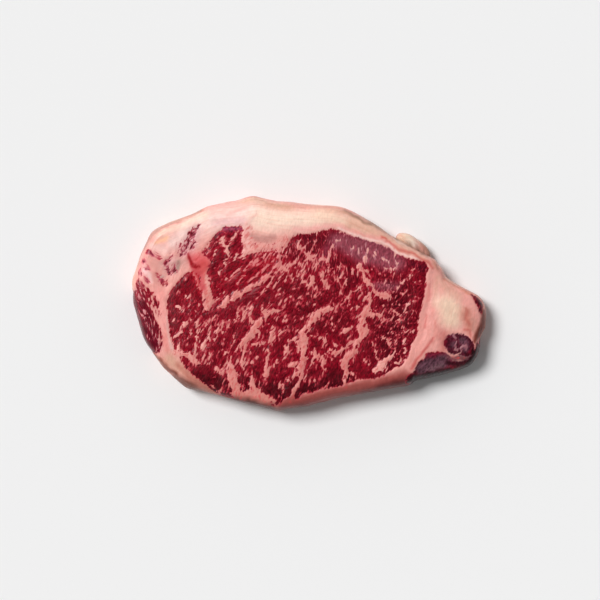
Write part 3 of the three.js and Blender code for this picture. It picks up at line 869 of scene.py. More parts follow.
FAT_STAINS_AND_SHADE = (
    # flecks in the left muscle
    StainAndShade("#CC868A", 0.8, 3, ((-97, 6, 6), (-92, -8, 6), (-86, -24, 6))),
    # veins and flecks in the eye muscle
    StainAndShade("#E18F87", 1, 5, ((-60, -6, 18), (-26, -4, 60), (24, -6, 58))),
    StainAndShade("#D27672", 0.65, 8, ((-62, -36, 10), (-20, -42, 14), (26, -36, 12))),
    StainAndShade("#D67C7A", 0.6, 5, ((-10, 29, 8), (16, 27, 12))),
    StainAndShade("#D2666C", 0.6, 4, ((-42, 12, 6), (-31, 18, 12), (-20, 25, 10))),
    StainAndShade("#CC776D", 0.8, 6, ((-56, -46, 6), (-20, -54, 8), (14, -48, 8))),
    # the cap, down to the eye's border
    StainAndShade("#FFD8CE", 1, 6, ((-66, 42, 10), (-50, 47, 14), (-32, 50, 14))),
    StainAndShade("#FFDFCB", 1, 6, ((-26, 47, 14), (-8, 47, 12), (6, 47, 9))),
    StainAndShade("#F4CFB8", 1, 5, ((6, 50, 8), (20, 46, 8), (34, 41, 7))),
    StainAndShade("#D4A48F", 0.9, 2.5, ((-46, 57, 2.4), (-30, 59, 3), (-20, 57, 3), (0, 55.6, 3),
        (18, 52, 3))),
    StainAndShade("#F6ADA6", 0.9, 2, ((-8, 41.6, 1.5), (4, 42, 2), (15, 44, 2), (22, 41, 2))),
    StainAndShade("#F2BDBC", 0.8, 3, ((-52, 45, 3), (-38, 46, 4))),
    StainAndShade("#F3B4AC", 0.8, 2, ((-34.6, 39, 6), (-34.8, 31, 5))),
    StainAndShade("#C08880", 0.7, 1.5, ((-31, 37, 3), (-24, 36, 4), (-20, 37, 3))),
    StainAndShade("#F0AEA4", 0.7, 1.2, ((-46, 49.6, 1), (-36, 54, 1))),
    StainAndShade("#F0AEA4", 0.6, 1.2, ((-36, 44.6, 1), (-29, 50, 0.8))),
    # the band under the cap's right half, with its membrane and seams
    StainAndShade("#E2AE98", 1, 4, ((24, 44, 6), (40, 38, 6), (52, 32, 5), (64, 26, 4))),
    StainAndShade("#EFA59C", 0.9, 1.5, ((20, 41, 2.5), (30, 38, 2.5), (40, 35.5, 2.5), (48, 31.5, 2.5))),
    StainAndShade("#FAD3CB", 0.9, 0.8, ((16, 42.4, 0.8), (22, 39.8, 1), (30, 37, 1.1), (38, 34.8, 1.1),
        (44, 32.4, 1.2), (50, 28.4, 1.2), (57, 25.6, 1.2), (63, 24.6, 0.8))),
    StainAndShade("#C4564E", 0.75, 1, ((43, 34.8, 0.8), (52, 29.8, 1.2), (60, 26.8, 1.2), (66, 23.2, 1.4),
        (69, 19.6, 1))),
    StainAndShade("#C8483C", 0.8, 0.8, ((40.4, 36.4, 1.2), (42.4, 36, 1))),
    StainAndShade("#8A6650", 0.85, 1.2, ((20, 51.4, 1.2), (26, 48, 1.4), (36, 43.8, 1.2),
        (46, 38.8, 1.2)), runs=True),
    # the lobe that hangs out, with painted shade on its east end and a dark line of painted shade in
    # the crease between it and the cap, and the notch before the tail
    StainAndShade("#EDDACB", 1, 2, ((52, 37, 6), (60, 35, 8))),
    StainAndShade("#A5836A", 0.95, 2, ((65, 34, 4), (69, 28.6, 5))),
    StainAndShade("#5F3F2E", 0.9, 1, ((48, 37.6, 0.8), (56, 33, 1.2), (64, 29, 1.4),
        (69.4, 25.8, 1)), runs=True),
    StainAndShade("#D7907C", 0.9, 1.4, ((70, 23.4, 3), (72, 18.6, 2.4))),
    # the north-west edge
    StainAndShade("#FFD2BE", 0.9, 2.5, ((-84, 38, 4), (-72, 43.5, 4), (-58, 50, 4))),
    StainAndShade("#C8705C", 0.75, 1, ((-87, 41.4, 0.8), (-76, 45.4, 1), (-68, 49, 1),
        (-60, 52.6, 1.4)), runs=True),
    StainAndShade("#5E2A30", 0.85, 0.9, ((-66, 51, 0.8), (-60, 53.6, 1.8))),
    StainAndShade("#B57F78", 0.9, 1.6, ((-97.4, 21, 2.5), (-93.6, 31, 3.5), (-88.8, 38.8, 3),
        (-80, 43.6, 2)), runs=True),
    StainAndShade("#B98A86", 0.85, 1.2, ((-80, 44, 2), (-71.4, 48.4, 2.4), (-62, 52.8, 2.2)), runs=True),
    # round the islands
    StainAndShade("#FFDCD4", 0.9, 4, ((-76, 34, 7), (-70, 38, 7))),
    StainAndShade("#FFCFC6", 0.9, 3, ((-86.4, 31, 5), (-80, 29.4, 5))),
    StainAndShade("#FABC94", 0.9, 1.4, ((-85.4, 33.4, 1.6), (-79.6, 36, 2.2))),
    StainAndShade("#D8A4A4", 0.6, 3, ((-63, 40, 6), (-68, 31, 9))),
    StainAndShade("#CFA09A", 0.6, 3, ((-79, 21, 8), (-70, 24, 5))),
    StainAndShade("#A8857A", 0.9, 1, ((-72.8, 22.8, 2.2), (-74.8, 18, 2.2))),
    StainAndShade("#C4A096", 0.9, 1.2, ((-82.6, 14.6, 2.6),)),
    # the left end
    StainAndShade("#F4AAA6", 0.8, 3, ((-94, 24, 3), (-92, 16, 4))),
    StainAndShade("#FBD6D2", 0.8, 1.5, ((-92, 19, 2), (-89.4, 14, 2.6), (-88.4, 11.6, 1.4))),
    # the red notch in the west
    StainAndShade("#DC5056", 0.85, 4, ((-64, 25, 6), (-59, 23.6, 8))),
    StainAndShade("#CE4A4A", 0.9, 2, ((-59, 20.6, 6), (-60.4, 14, 3))),
    StainAndShade("#C6444A", 0.9, 1.8, ((-63.4, 20, 5), (-62, 14, 5), (-59.6, 8, 3.4))),
    StainAndShade("#9C0012", 1, 0.8, ((-67.6, 27.4, 1), (-66.4, 23.6, 1.8), (-64.8, 20.8, 2.4),
        (-61.6, 20, 1.6))),
    # the band beside the left muscle
    StainAndShade("#FFACA5", 0.9, 3, ((-84, 6, 6), (-81, -8, 6), (-79, -22, 6))),
    StainAndShade("#E88E86", 0.8, 2, ((-81.4, -18, 3), (-79.6, -27, 3))),
    StainAndShade("#EDC2B9", 0.8, 0.8, ((-79.8, -8, 0.8), (-78.6, -18, 1), (-76.6, -26, 1.4))),
    # the south-west edge: its tan band and streak, and darker browns towards the rim and along its
    # crease that are partly the edge's own tone and partly painted shade
    StainAndShade("#DCA691", 1, 3, ((-78, -32, 6), (-69, -39, 5))),
    StainAndShade("#7C3A2A", 0.9, 1.2, ((-89.6, -26.4, 1.6), (-84, -31.8, 2), (-78.8, -37, 3),
        (-75, -39.8, 3)), runs=True),
    StainAndShade("#7E4A3E", 1, 2, ((-76, -42.4, 4), (-66, -47, 7), (-56, -50, 5))),
    StainAndShade("#A5604E", 0.8, 0.9, ((-67, -41.4, 1.2), (-60, -45, 1.2))),
    # painted shade along the rim
    StainAndShade("#5A2E28", 0.9, 2, ((-81, -42.4, 2), (-67, -50.2, 3), (-54, -53.4, 2.4))),
    # the lower edge, with its corner in the south-west; its dark reds and browns, darkest at the
    # rim, are partly the edge's own brownish tone and partly painted shade, and the tan one is its
    # own
    StainAndShade("#A8604F", 1, 3, ((-52, -56, 9), (-42, -57, 8), (-22, -60.6, 8))),
    StainAndShade("#8C3C38", 1, 3, ((-14, -59, 8), (0, -57, 9), (20, -53, 10), (40, -50, 11),
        (56, -46.6, 10))),
    StainAndShade("#A04E49", 0.95, 2.5, ((-14, -55, 5), (0, -53, 5), (20, -49, 6), (40, -44.4, 6),
        (54, -40.4, 6))),
    StainAndShade("#C27A6B", 0.9, 2, ((-73, -34.6, 2), (-68, -39.6, 4), (-62, -44, 5), (-54, -51, 5))),
    StainAndShade("#5A2A26", 0.95, 2, ((-50, -54.4, 4), (-34, -55.6, 5), (-22, -60, 6))),
    # partly painted shade: the darkest band, along the rim
    StainAndShade("#50241F", 1, 2.5, ((-56, -55, 4), (-22, -63, 5), (0, -60.4, 5), (28, -54.6, 5),
        (58, -48.8, 5))),
    StainAndShade("#5E2222", 0.9, 2.5, ((32, -51.6, 5), (46, -47.4, 7), (58, -44, 5))),
    # the seam between the eye muscle and the tail
    StainAndShade("#E99E95", 1, 4, ((71, 15, 5), (66, -4, 6), (62, -20, 6), (57, -34, 5))),
    StainAndShade("#DCA493", 0.9, 2.5, ((84, 4, 5), (78, 8, 6), (72, 14, 4), (71, 0, 4))),
    StainAndShade("#E58A86", 0.7, 1, ((66.8, 10, 1.2), (66.6, 2, 1))),
    StainAndShade("#D06A64", 0.7, 0.8, ((66, -7, 0.7), (65, -14, 0.8))),
    StainAndShade("#DD8C82", 0.7, 1, ((71, -9, 0.8), (71, -18, 0.8))),
    StainAndShade("#C0504E", 0.8, 1, ((70, -19, 0.8), (66.4, -24.6, 1), (62, -30, 1.1), (57.8, -37, 1.3))),
    StainAndShade("#CE7E77", 0.9, 2.5, ((75, -18, 5), (76, -25, 5))),
    # the tail
    StainAndShade("#F1CDB5", 1, 4, ((77.5, -1, 11), (79.5, -4, 13), (79.5, -9, 11))),
    StainAndShade("#CC8272", 0.9, 3, ((88, -6, 5), (91, -13, 5))),
    StainAndShade("#C4685C", 0.75, 1, ((87.6, -3, 0.8), (88.6, -8.4, 1), (91, -12, 1))),
    StainAndShade("#BC5C54", 0.75, 1, ((87, -14.8, 0.8), (91, -15.2, 1), (91.4, -19, 1))),
    StainAndShade("#CE9285", 0.85, 1, ((92.6, -9.6, 2), (93, -15.6, 2))),
    StainAndShade("#74342A", 0.95, 1.2, ((97.6, -5, 2.4), (98.2, -9.4, 3.4), (96.6, -14, 3.2),
        (94.6, -19, 2.8), (93.4, -22, 2)), runs=True),
    StainAndShade("#C87A62", 0.8, 1, ((76, 13.8, 1), (84, 8.8, 1), (91, 5.4, 1)), runs=True),
    # in and round the small muscles
    StainAndShade("#9C666E", 1, 1, ((81, -22, 8), (88, -25, 6))),
    StainAndShade("#744245", 1, 1, ((78, -30.4, 2), (88, -31.6, 3.4), (93, -29, 3))),
    StainAndShade("#583132", 1, 1.5, ((79, -36.4, 3), (88, -35.6, 4))),
)
# fmt: on


@dataclass(frozen=True)
class TissueMap:
    """The fields that lie on the skin, from named outlines, strokes and areas."""

    muscles: Muscles = Muscles()
    grain_lean: float = 0.5  # how far the grain leans to the right for each step up
    grain_along: Pair = (0.5, 0.85)  # x and y of a step along it
    # areas where it leans more or less than that
    turns: tuple[Turn, ...] = (
        Turn(-30, 12, 24, 16, 0.45),
        Turn(30, 26, 26, 18, -0.45),
        Turn(48, -12, 18, 24, 0.15),
        Turn(-5, -40, 40, 14, -0.2),
        Turn(-94, -8, 9, 26, -1.0),
    )
    # areas with more marbling than elsewhere, or with less
    density: tuple[Bias, ...] = (
        Bias(-70, 0, 9, 16, -0.8),
        Bias(-54, -10, 16, 12, 0.6),
        Bias(-2, 4, 12, 8, 0.5),
        Bias(-44, 32, 10, 12, -0.4),
        Bias(-34, 8, 16, 12, -0.6),
        Bias(-52, 2, 12, 10, -0.6),
        Bias(-90, -12, 6, 16, -1.7),
        Bias(-94, 8, 6, 10, 0.4),
        Bias(-35, -44, 26, 8, -0.8),
        Bias(-12, 8, 12, 8, -0.4),
        Bias(30, 30, 28, 9, -0.85),
        Bias(55, 20, 10, 8, -0.9),
        Bias(0, 38, 14, 4, -0.9),
        Bias(-3, 24, 19, 11, 1.2),
        Bias(10, 10, 16, 12, 0.35),
        Bias(-50, -22, 18, 14, -0.5),
        Bias(-20, -32, 14, 14, -0.5),
        Bias(55, -12, 12, 22, -0.3),
        Bias(-58, -46, 14, 8, -0.9),
        Bias(5, -38, 24, 10, -1.15),
        Bias(84, -24, 9, 8, -2.5),
        Bias(75, -38, 18, 9, -3.0),
    )
    # areas where it is fine and round
    speckle: tuple[Bias, ...] = (
        Bias(52, -8, 20, 30, 1.0),
        Bias(12, 8, 16, 18, 0.45),
        Bias(22, -26, 24, 12, 0.4),
        Bias(0, 34, 16, 8, 0.5),
    )
    # where lean has dried a little, and its fibres show less
    dull: Stroke = ((14, 34.6, 12), (25, 31, 15), (37, 27.4, 15), (50, 22.6, 11))
    dull_share: float = 0.45  # how much less they show
    dull_soft: float = 3.0  # mm to either side of its edge
    side_from: Pair = (3.0, 10.0)  # mm from the rim, where the side's look sets in
    side_foot: Pair = (0.0, 2.5)  # mm up, where it ends again at the foot
    torn_size: float = 7.0  # mm, size and reach of the bends of muscle borders on the side
    torn_reach: float = 3.0
    wander: Pair = (4.5, 0.9)  # mm, size and reach of the strokes' slow bends
    shiver: Pair = (1.8, 0.4)  # and of their quick ones
    vein_blend: float = 0.5  # mm over which two veins melt together
    vein_closing: float = 8.0  # mm by which veins narrow on the side, where none comes out
    reach: float = 4.0  # mm, depth beyond which the material and the relief stay the same
    fat_reach: float = 8.0  # mm, the same for the depth in fat outside the muscles
    # what fat on the side turns to in patches, how far, and the noise that lays them out
    side_tones: tuple[tuple[str, float, Seed], ...] = (
        ("#DC8F80", 0.6, Seed.PINK_PATCH),
        ("#E7C3A4", 0.6, Seed.CREAM_PATCH),
        ("#B07058", 0.35, Seed.BROWN_PATCH),
    )
    patch_size: Triple = (16.0, 16.0, 5.0)  # mm
    patch_level: Pair = (-0.1, 0.6)  # of the noise, where a patch sets in
    patch_south: Pair = (-48.0, -34.0)  # y up to which patches come in
    foot_tone: str = "#DBA594"  # what fat low on the side is paled to
    foot_share: float = 0.5  # and how far
    foot_heights: Pair = (11.0, 5.0)  # mm up, from none of it to all of it
    tail_from: Pair = (44.0, 62.0)  # x where layers turn to the tail's own run
    layer_radius: float = 80.0  # mm of the circle that stands in for the way round the slice
    slimness: float = 1.6  # the slice's length over its width
    # each tissue's main colour, and the patches of other colour on it, among them some painted shade
    coats: tuple[tuple[Tissue, str, tuple[StainAndShade, ...]], ...] = (
        (Tissue.LEAN, "#7B091B", LEAN_STAINS_AND_SHADE),
        (Tissue.THIN, "#B52F3E", THIN_STAINS),
        (Tissue.FAT, "#EBA49A", FAT_STAINS_AND_SHADE),
    )

    def grain(self, x: Array, y: Array, z: Array) -> Array:
        """Rows of the place across the grain, along it, and up, in mm."""
        across = x - self.grain_lean * y - sum(turn.shift(x, y) for turn in self.turns)
        return np.column_stack((across, self.grain_along[0] * x + self.grain_along[1] * y, z))

    def wandering(self, place: Array, points: Array, slow: Seed, quick: Seed) -> Array:
        """A coordinate with the slow and quick bends that keep strokes from being smooth."""
        (bend, far), (tremor, near) = self.wander, self.shiver
        bent = place + far * lattice_noise(points, bend, slow)
        return bent + near * lattice_noise(points, tremor, quick)

    def layers(self, points: Array, down: Array, eye: Array, form: SliceForm) -> Array:
        """Rows of a place for layered fat: two for the way round, and the depth in mm.

        The depth is the way in from the outer edge, which turns into the way out from the eye
        muscle at the tail, and goes on down the side.
        """
        x, y, _ = points.T
        turn = np.arctan2(self.slimness * y, x)
        edge = inside_distance(x, y, [knot[:2] for knot in form.outline])
        tail = smoothstep(x, *self.tail_from)
        layer = down - (1 - tail) * np.maximum(edge, 0) - tail * eye
        radius = self.layer_radius
        return np.column_stack((radius * np.cos(turn), radius * np.sin(turn), layer))

    def side_fat(self, tone: Array, points: Array, side: Array) -> None:
        """Pales the fat's colours low on the side, and lays patches of other tones over them."""
        _, y, z = points.T
        foot = self.foot_share * side * smoothstep(z, *self.foot_heights)
        tone += foot[:, None] * (srgb(self.foot_tone) - tone)
        north = smoothstep(y, *self.patch_south)
        for colour, strength, seed in self.side_tones:
            patch = stretched_noise(points, self.patch_size, seed)
            share = strength * side * smoothstep(patch, *self.patch_level) * north
            tone += share[:, None] * (srgb(colour) - tone)

    def fields(self, points: Array, down: Array, form: SliceForm) -> dict[str, Array]:
        """Every field of the skin.

        Args:
            points: rows of x, y, z in millimetres.
            down: the way down the side from the rim to each point, 0 on the cut face.
            form: the slice's main form, for its outline.

        Returns:
            One value or one row of three for each point, by the name of its attribute. Depths
            are in mm and are clipped where nothing changes any more.
        """
        x, y, z = points.T
        side = smoothstep(down, *self.side_from) * smoothstep(z, *self.side_foot)
        torn = self.torn_reach * side
        lean, eye = self.muscles.depth(
            x + torn * lattice_noise(points, self.torn_size, Seed.TORN_X),
            y + torn * lattice_noise(points, self.torn_size, Seed.TORN_Y),
            side,
        )
        bx = self.wandering(x, points, Seed.WANDER_X, Seed.SHIVER_X)
        by = self.wandering(y, points, Seed.WANDER_Y, Seed.SHIVER_Y)
        vein = np.full(x.shape, -6.0)  # as far from any vein as matters
        for stroke in (*VEINS.values(), *STREAKS):
            vein = soft_max(vein, stroke_depth(bx, by, stroke), self.vein_blend)
        tones = {}
        for tissue, base, marks in self.coats:
            tone = np.tile(srgb(base), (len(x), 1))
            for mark in marks:
                tone += mark.share(bx, by, side)[:, None] * (srgb(mark.colour) - tone)
            tones[tissue] = tone
        self.side_fat(tones[Tissue.FAT], points, side)
        dull = smoothstep(stroke_depth(bx, by, self.dull), -self.dull_soft, self.dull_soft)
        return {
            "side": side,
            "fat": np.clip(-lean, -self.reach, self.fat_reach),
            "vein": np.clip(vein - self.vein_closing * side, -self.reach, self.reach),
            "marble": sum(bias.at(x, y) for bias in self.density),
            "speckle": np.clip(sum(bias.at(x, y) for bias in self.speckle), 0, 1),
            "dull": self.dull_share * dull * (1 - side),
            "grain": self.grain(x, y, z),
            "layer": self.layers(points, down, eye, form),
            **{tissue.value: linear(tone) for tissue, tone in tones.items()},
        }


@dataclass(frozen=True)
class NodeKit:
    """Short ways to add the nodes that a material needs."""

    tree: bpy.types.NodeTree

    def field(self, name: str, output: str = "Fac") -> Socket:
        """A field of the skin, by the name of its attribute."""
        return add_node(self.tree, "Attribute", attribute_name=name).outputs[output]

    def math(self, kind: str, *values: Any) -> Socket:
        """The result of a Math node on numbers or sockets."""
        return add_node(self.tree, "Math", dict(enumerate(values)), operation=kind).outputs[0]

    def vector(self, kind: str, *values: Any) -> Socket:
        """The result of a Vector Math node on vectors or sockets."""
        return add_node(self.tree, "VectorMath", dict(enumerate(values)), operation=kind).outputs[0]

    def dimmed(self, colour: Any, gain: Any) -> Socket:
        """A colour times a number."""
        inputs = {0: colour, "Scale": gain}
        return add_node(self.tree, "VectorMath", inputs, operation="SCALE").outputs[0]

    def cells(self, vector: Any, sizes: Sequence[float]) -> Socket:
        """Turns mm into counts of cells of the given sizes along the three coordinates."""
        return self.vector("MULTIPLY", vector, [1 / size for size in sizes])

    def noise(self, vector: Any, sizes: Sequence[float], detail: float) -> bpy.types.Node:
        """A noise whose lumps have the given sizes in mm along the three coordinates."""
        inputs = {"Vector": self.cells(vector, sizes), "Scale": 1.0, "Detail": detail}
        return add_node(self.tree, "TexNoise", inputs)

    def ramp(
        self, source: Any, low: float, high: float, start: float = 0.0, end: float = 1.0,
        kind: str = "SMOOTHSTEP",
    ) -> Socket:
        """Takes low..high of a socket to start..end, smoothly or by a straight line."""
        inputs = {0: source, 1: low, 2: high, 3: start, 4: end}
        return add_node(self.tree, "MapRange", inputs, interpolation_type=kind).outputs[0]

    def mix(self, share: Any, a: Any, b: Any) -> Socket:
        """A number between two others."""
        return add_node(self.tree, "Mix", {0: share, 2: a, 3: b}).outputs[0]

    def blend(self, share: Any, a: Any, b: Any, kind: str = "MIX") -> Socket:
        """A colour between two others, or their product for the kind MULTIPLY."""
        inputs = {0: share, 6: a, 7: b}
        return add_node(self.tree, "Mix", inputs, data_type="RGBA", blend_type=kind).outputs[2]


@dataclass(frozen=True)
class Fleck:
    """One kind of fleck: its spacing in mm, and how its size differs from the others'.

    Sizes are in cells, one cell to a spacing. when_fine is added where the marbling is fine,
    and extra everywhere.
    """

    across: float
    along: float
    when_fine: float
    extra: float


@dataclass(frozen=True)
class Pattern:
    """What the colours and the relief of beef share.

    grain is the place across and along the grain, and bent has the grain's small bends too.
    size is how large flecks are, and fine how fine and round. rag is the raggedness of borders
    and fibres the mottling of fibre ends. depth is how deep a point lies in fat, in mm and
    below zero in lean, and vein how deep it lies in a vein before its edge is torn.
    """

    grain: Socket
    bent: Socket
    size: Socket
    fine: Socket
    rag: Socket
    fibres: Socket
    depth: Socket
    vein: Socket


@dataclass(frozen=True)
class CutBeef:
    """Raw marbled beef, cut with a knife: moist lean, waxy fat, fine streaks of fat in the lean.

    Lean is a dark wet red with the ends of its fibres showing, fat is paler, duller and a
    little proud of it, and thin fat lets the red shine through.
    """

    name: str = "raw_beef_knife_cut"
    # long dashes and short flecks along the grain, and round specks where the marbling is fine
    flecks: tuple[Fleck, ...] = (
        Fleck(2.1, 8.0, -0.45, 0.0),
        Fleck(1.7, 4.2, -0.3, -0.04),
        Fleck(1.4, 2.0, 0.54, -0.45),
    )
    fleck_upright: float = 4.0  # mm, the flecks' spacing through the slice
    fleck_size: Pair = (-0.53, 0.9)  # least size in cells, and what patches add
    fleck_density: float = 0.12  # cells, what dense marbling adds
    line_width: Pair = (-2.15, 3.6)  # least width of the lines in mm, and what stretches add
    line_density: float = 0.4  # mm, what dense marbling adds
    line_fine: float = 0.2  # mm, what fine marbling adds
    outflow: Pair = (0.4, 1.6)  # mm that veins widen between bundles, and how fast it ends
    # sizes in mm across the grain, along it and up
    bundle_size: Triple = (3.0, 5.2, 5.2)  # bundles that thin lines part
    line_size: Triple = (4.0, 6.0, 5.0)  # stretches where those lines show
    patchy_size: Triple = (7.0, 12.0, 8.0)  # patches of larger flecks
    rag_size: Triple = (1.2, 3.0, 2.4)  # raggedness of borders
    fibre_size: Triple = (0.65, 2.0, 1.5)  # fibre ends
    long_haze_size: Triple = (0.9, 6.0, 3.0)  # fat too thin to show as such
    short_haze_size: Triple = (0.9, 2.2, 2.0)
    mottle_size: Triple = (1.6, 2.4, 2.0)  # light and dark in the fat
    moist_size: Triple = (5.0, 5.0, 5.0)  # wetter and drier places
    # sizes in mm: two for the way round the slice, and one from layer to layer of its fat
    layer_size: Triple = (16.0, 16.0, 1.3)  # layers of thick fat
    strand_size: Triple = (8.0, 8.0, 0.8)  # strands torn into the side
    wobble: Pair = (7.0, 2.4)  # mm, size and reach of the grain's slow bends
    shiver: Pair = (2.0, 0.5)  # and of its quick ones
    vein_rag: float = 3.6  # mm, how far raggedness moves the edge of a vein
    border_rag: float = 3.0  # and the border of a muscle
    fibre_reach: float = 1.2  # mm, how far fibre ends move both
    dull_gain: float = 0.92  # brightness of lean whose fibres don't show
    layer_tint: str = "#F3D2CD"  # times the fat's own colour, in every other layer
    side_strand: str = "#BC6A5C"
    vein_flush: str = "#CC4A4C"  # blood that stains the veins in spots
    lean_roughness: float = 0.28
    fat_roughness: float = 0.36
    # relief in mm: fibre ends, fat over lean, layers of fat, and strands torn into the side
    fibre_relief: float = 0.12
    fat_relief: float = 0.10
    layer_relief: float = 0.25
    strand_relief: float = -0.5

    def bent(self, kit: NodeKit, grain: Socket) -> Socket:
        """The grain's lines, bent a little, so that no streak is straight."""
        bent = grain
        for size, reach in (self.wobble, self.shiver):
            drift = kit.noise(grain, (size,) * 3, 1.0).outputs["Color"]
            bent = kit.vector("MULTIPLY_ADD", drift, (reach,) * 3, bent)
        return bent

    def scattered(self, kit: NodeKit, bent: Socket, kind: Fleck, size: Socket) -> Socket:
        """The depth in mm inside flecks of fat, one to a cell and each of its own size."""
        cells = kit.cells(bent, (kind.across, kind.along, self.fleck_upright))
        spot = add_node(kit.tree, "TexVoronoi", {"Vector": cells, "Scale": 1.0})
        lot = add_node(kit.tree, "SeparateColor", {0: spot.outputs["Color"]}).outputs[0]
        lot = kit.math("MULTIPLY_ADD", kit.math("POWER", lot, 2.0), 0.5, size)
        reach = kit.math("SUBTRACT", lot, spot.outputs["Distance"])
        return kit.math("MULTIPLY", reach, kind.across)

    def pattern(self, kit: NodeKit) -> Pattern:
        """Lays out where fat lies in the section, from the skin's fields and noise."""
        grain = kit.field("grain", "Vector")
        bent = self.bent(kit, grain)
        marble, fine, vein = kit.field("marble"), kit.field("speckle"), kit.field("vein")

        # Flecks, larger in patches and where the marbling is dense
        patchy = kit.noise(grain, self.patchy_size, 1.0).outputs[0]
        size = kit.math("MULTIPLY_ADD", patchy, self.fleck_size[1], self.fleck_size[0])
        size = kit.math("MULTIPLY_ADD", marble, self.fleck_density, size)
        marbling = None
        for kind in self.flecks:
            own = kit.math("MULTIPLY_ADD", fine, kind.when_fine, kit.math("ADD", size, kind.extra))
            spots = self.scattered(kit, bent, kind, own)
            if marbling is None:
                marbling = spots
            else:
                marbling = kit.math("SMOOTH_MAX", marbling, spots, 0.1)

        # A net of thin fat between bundles of fibres, broken up where its width falls below zero
        net = {"Vector": kit.cells(bent, self.bundle_size), "Scale": 1.0}
        borders = add_node(kit.tree, "TexVoronoi", net, feature="DISTANCE_TO_EDGE")
        border = borders.outputs["Distance"]
        shown = kit.noise(bent, self.line_size, 2.0).outputs[0]
        width = kit.math("MULTIPLY_ADD", fine, self.line_fine, self.line_width[0])
        width = kit.math("MULTIPLY_ADD", shown, self.line_width[1], width)
        width = kit.math("MULTIPLY_ADD", marble, self.line_density, width)
        lines = kit.math("MULTIPLY_ADD", border, -self.bundle_size[0], width)

        # Veins and the borders of the muscles. Fat runs out of a vein between the bundles, so
        # that the bundles beside it stand into it as round lumps, and flecks near it are larger
        rag = kit.math("SUBTRACT", kit.noise(bent, self.rag_size, 2.5).outputs[0], 0.5)
        widening, decline = self.outflow
        lumps = kit.math("MULTIPLY_ADD", border, -decline * self.bundle_size[0], widening)
        torn = kit.math("ADD", kit.math("MULTIPLY_ADD", rag, self.vein_rag, vein), lumps)
        edge = kit.math("MULTIPLY_ADD", rag, self.border_rag, kit.field("fat"))
        near = kit.ramp(vein, -1.8, 0.2, 0.0, 0.2, "LINEAR")
        depth = kit.math("ADD", kit.math("SMOOTH_MAX", marbling, lines, 0.2), near)
        depth = kit.math("SMOOTH_MAX", depth, kit.math("SMOOTH_MAX", torn, edge, 0.3), 0.2)
        fibres = kit.noise(bent, self.fibre_size, 2.0).outputs[0]
        depth = kit.math("SUBTRACT", depth, 0.5 * self.fibre_reach)
        depth = kit.math("MULTIPLY_ADD", fibres, self.fibre_reach, depth)
        return Pattern(grain, bent, size, fine, rag, fibres, depth, vein)

    def lean(self, kit: NodeKit, look: Pattern) -> Socket:
        """Lean's colour: mottled by fibre ends, darkest away from fat, and flatter where dull."""
        gain = kit.math(
            "MULTIPLY",
            kit.ramp(look.fibres, 0.3, 0.7, 0.45, 1.35),
            kit.ramp(look.depth, -2.0, 0.0, 0.75, 1.1),
        )
        gain = kit.math("MULTIPLY", gain, kit.ramp(look.vein, -2.6, -0.6, 1.0, 1.3))
        gain = kit.mix(kit.field("dull"), gain, self.dull_gain)
        return kit.dimmed(kit.field(Tissue.LEAN.value, "Color"), gain)

    def haze(self, kit: NodeKit, look: Pattern) -> Socket:
        """How much fat too thin to show as such reddens the lean, in streaks along the grain."""
        streaks = kit.mix(
            look.fine,
            kit.noise(look.bent, self.long_haze_size, 2.0).outputs[0],
            kit.noise(look.bent, self.short_haze_size, 2.0).outputs[0],
        )
        near_flecks = kit.ramp(look.size, -0.4, 0.0)
        return kit.math("MULTIPLY", kit.ramp(streaks, 0.52, 0.72, 0.0, 0.45), near_flecks)

    def fat(self, kit: NodeKit, look: Pattern, layer: Socket, strands: Socket) -> Socket:
        """Thick fat's colour.

        It has faint layers along the muscle's border, torn red strands on the side, and a
        mottled flush of red in the veins.
        """
        fat = kit.field(Tissue.FAT.value, "Color")
        tinge = kit.ramp(layer, 0.45, 0.7, 0.0, 0.35, "LINEAR")
        fat = kit.blend(tinge, fat, linear_rgba(self.layer_tint), "MULTIPLY")
        sore = kit.math("MULTIPLY", kit.ramp(strands, 0.5, 0.75, 0.0, 0.6), kit.field("side"))
        fat = kit.blend(sore, fat, linear_rgba(self.side_strand))
        mottle = kit.noise(look.bent, self.mottle_size, 2.0).outputs[0]
        fat = kit.dimmed(fat, kit.ramp(mottle, 0.3, 0.7, 0.93, 1.05))
        inside = kit.ramp(look.vein, -2.0, 0.5)
        flush = kit.math("MULTIPLY", kit.ramp(look.rag, 0.06, -0.14, 0.0, 0.65), inside)
        return kit.blend(flush, fat, linear_rgba(self.vein_flush))

    def material(self) -> bpy.types.Material:
        """Builds the material's nodes."""
        material = bpy.data.materials.new(self.name)
        material.use_nodes = True
        kit = NodeKit(material.node_tree)
        kit.tree.nodes.clear()
        look = self.pattern(kit)
        place = kit.field("layer", "Vector")
        layer = kit.noise(place, self.layer_size, 2.0).outputs[0]
        strands = kit.noise(place, self.strand_size, 3.0).outputs[0]

        # From lean to thick fat by way of the red and pink of fat that lean shines through
        thin = kit.field(Tissue.THIN.value, "Color")
        pink = kit.blend(0.85, thin, kit.field(Tissue.FAT.value, "Color"))
        colour = self.lean(kit, look)
        for amount, tone in (
            (self.haze(kit, look), thin),
            (kit.ramp(look.depth, -0.3, 0.05), thin),
            (kit.ramp(look.depth, 0.0, 0.4), pink),
            (kit.ramp(look.depth, 0.35, 1.1), self.fat(kit, look, layer, strands)),
        ):
            colour = kit.blend(amount, colour, tone)

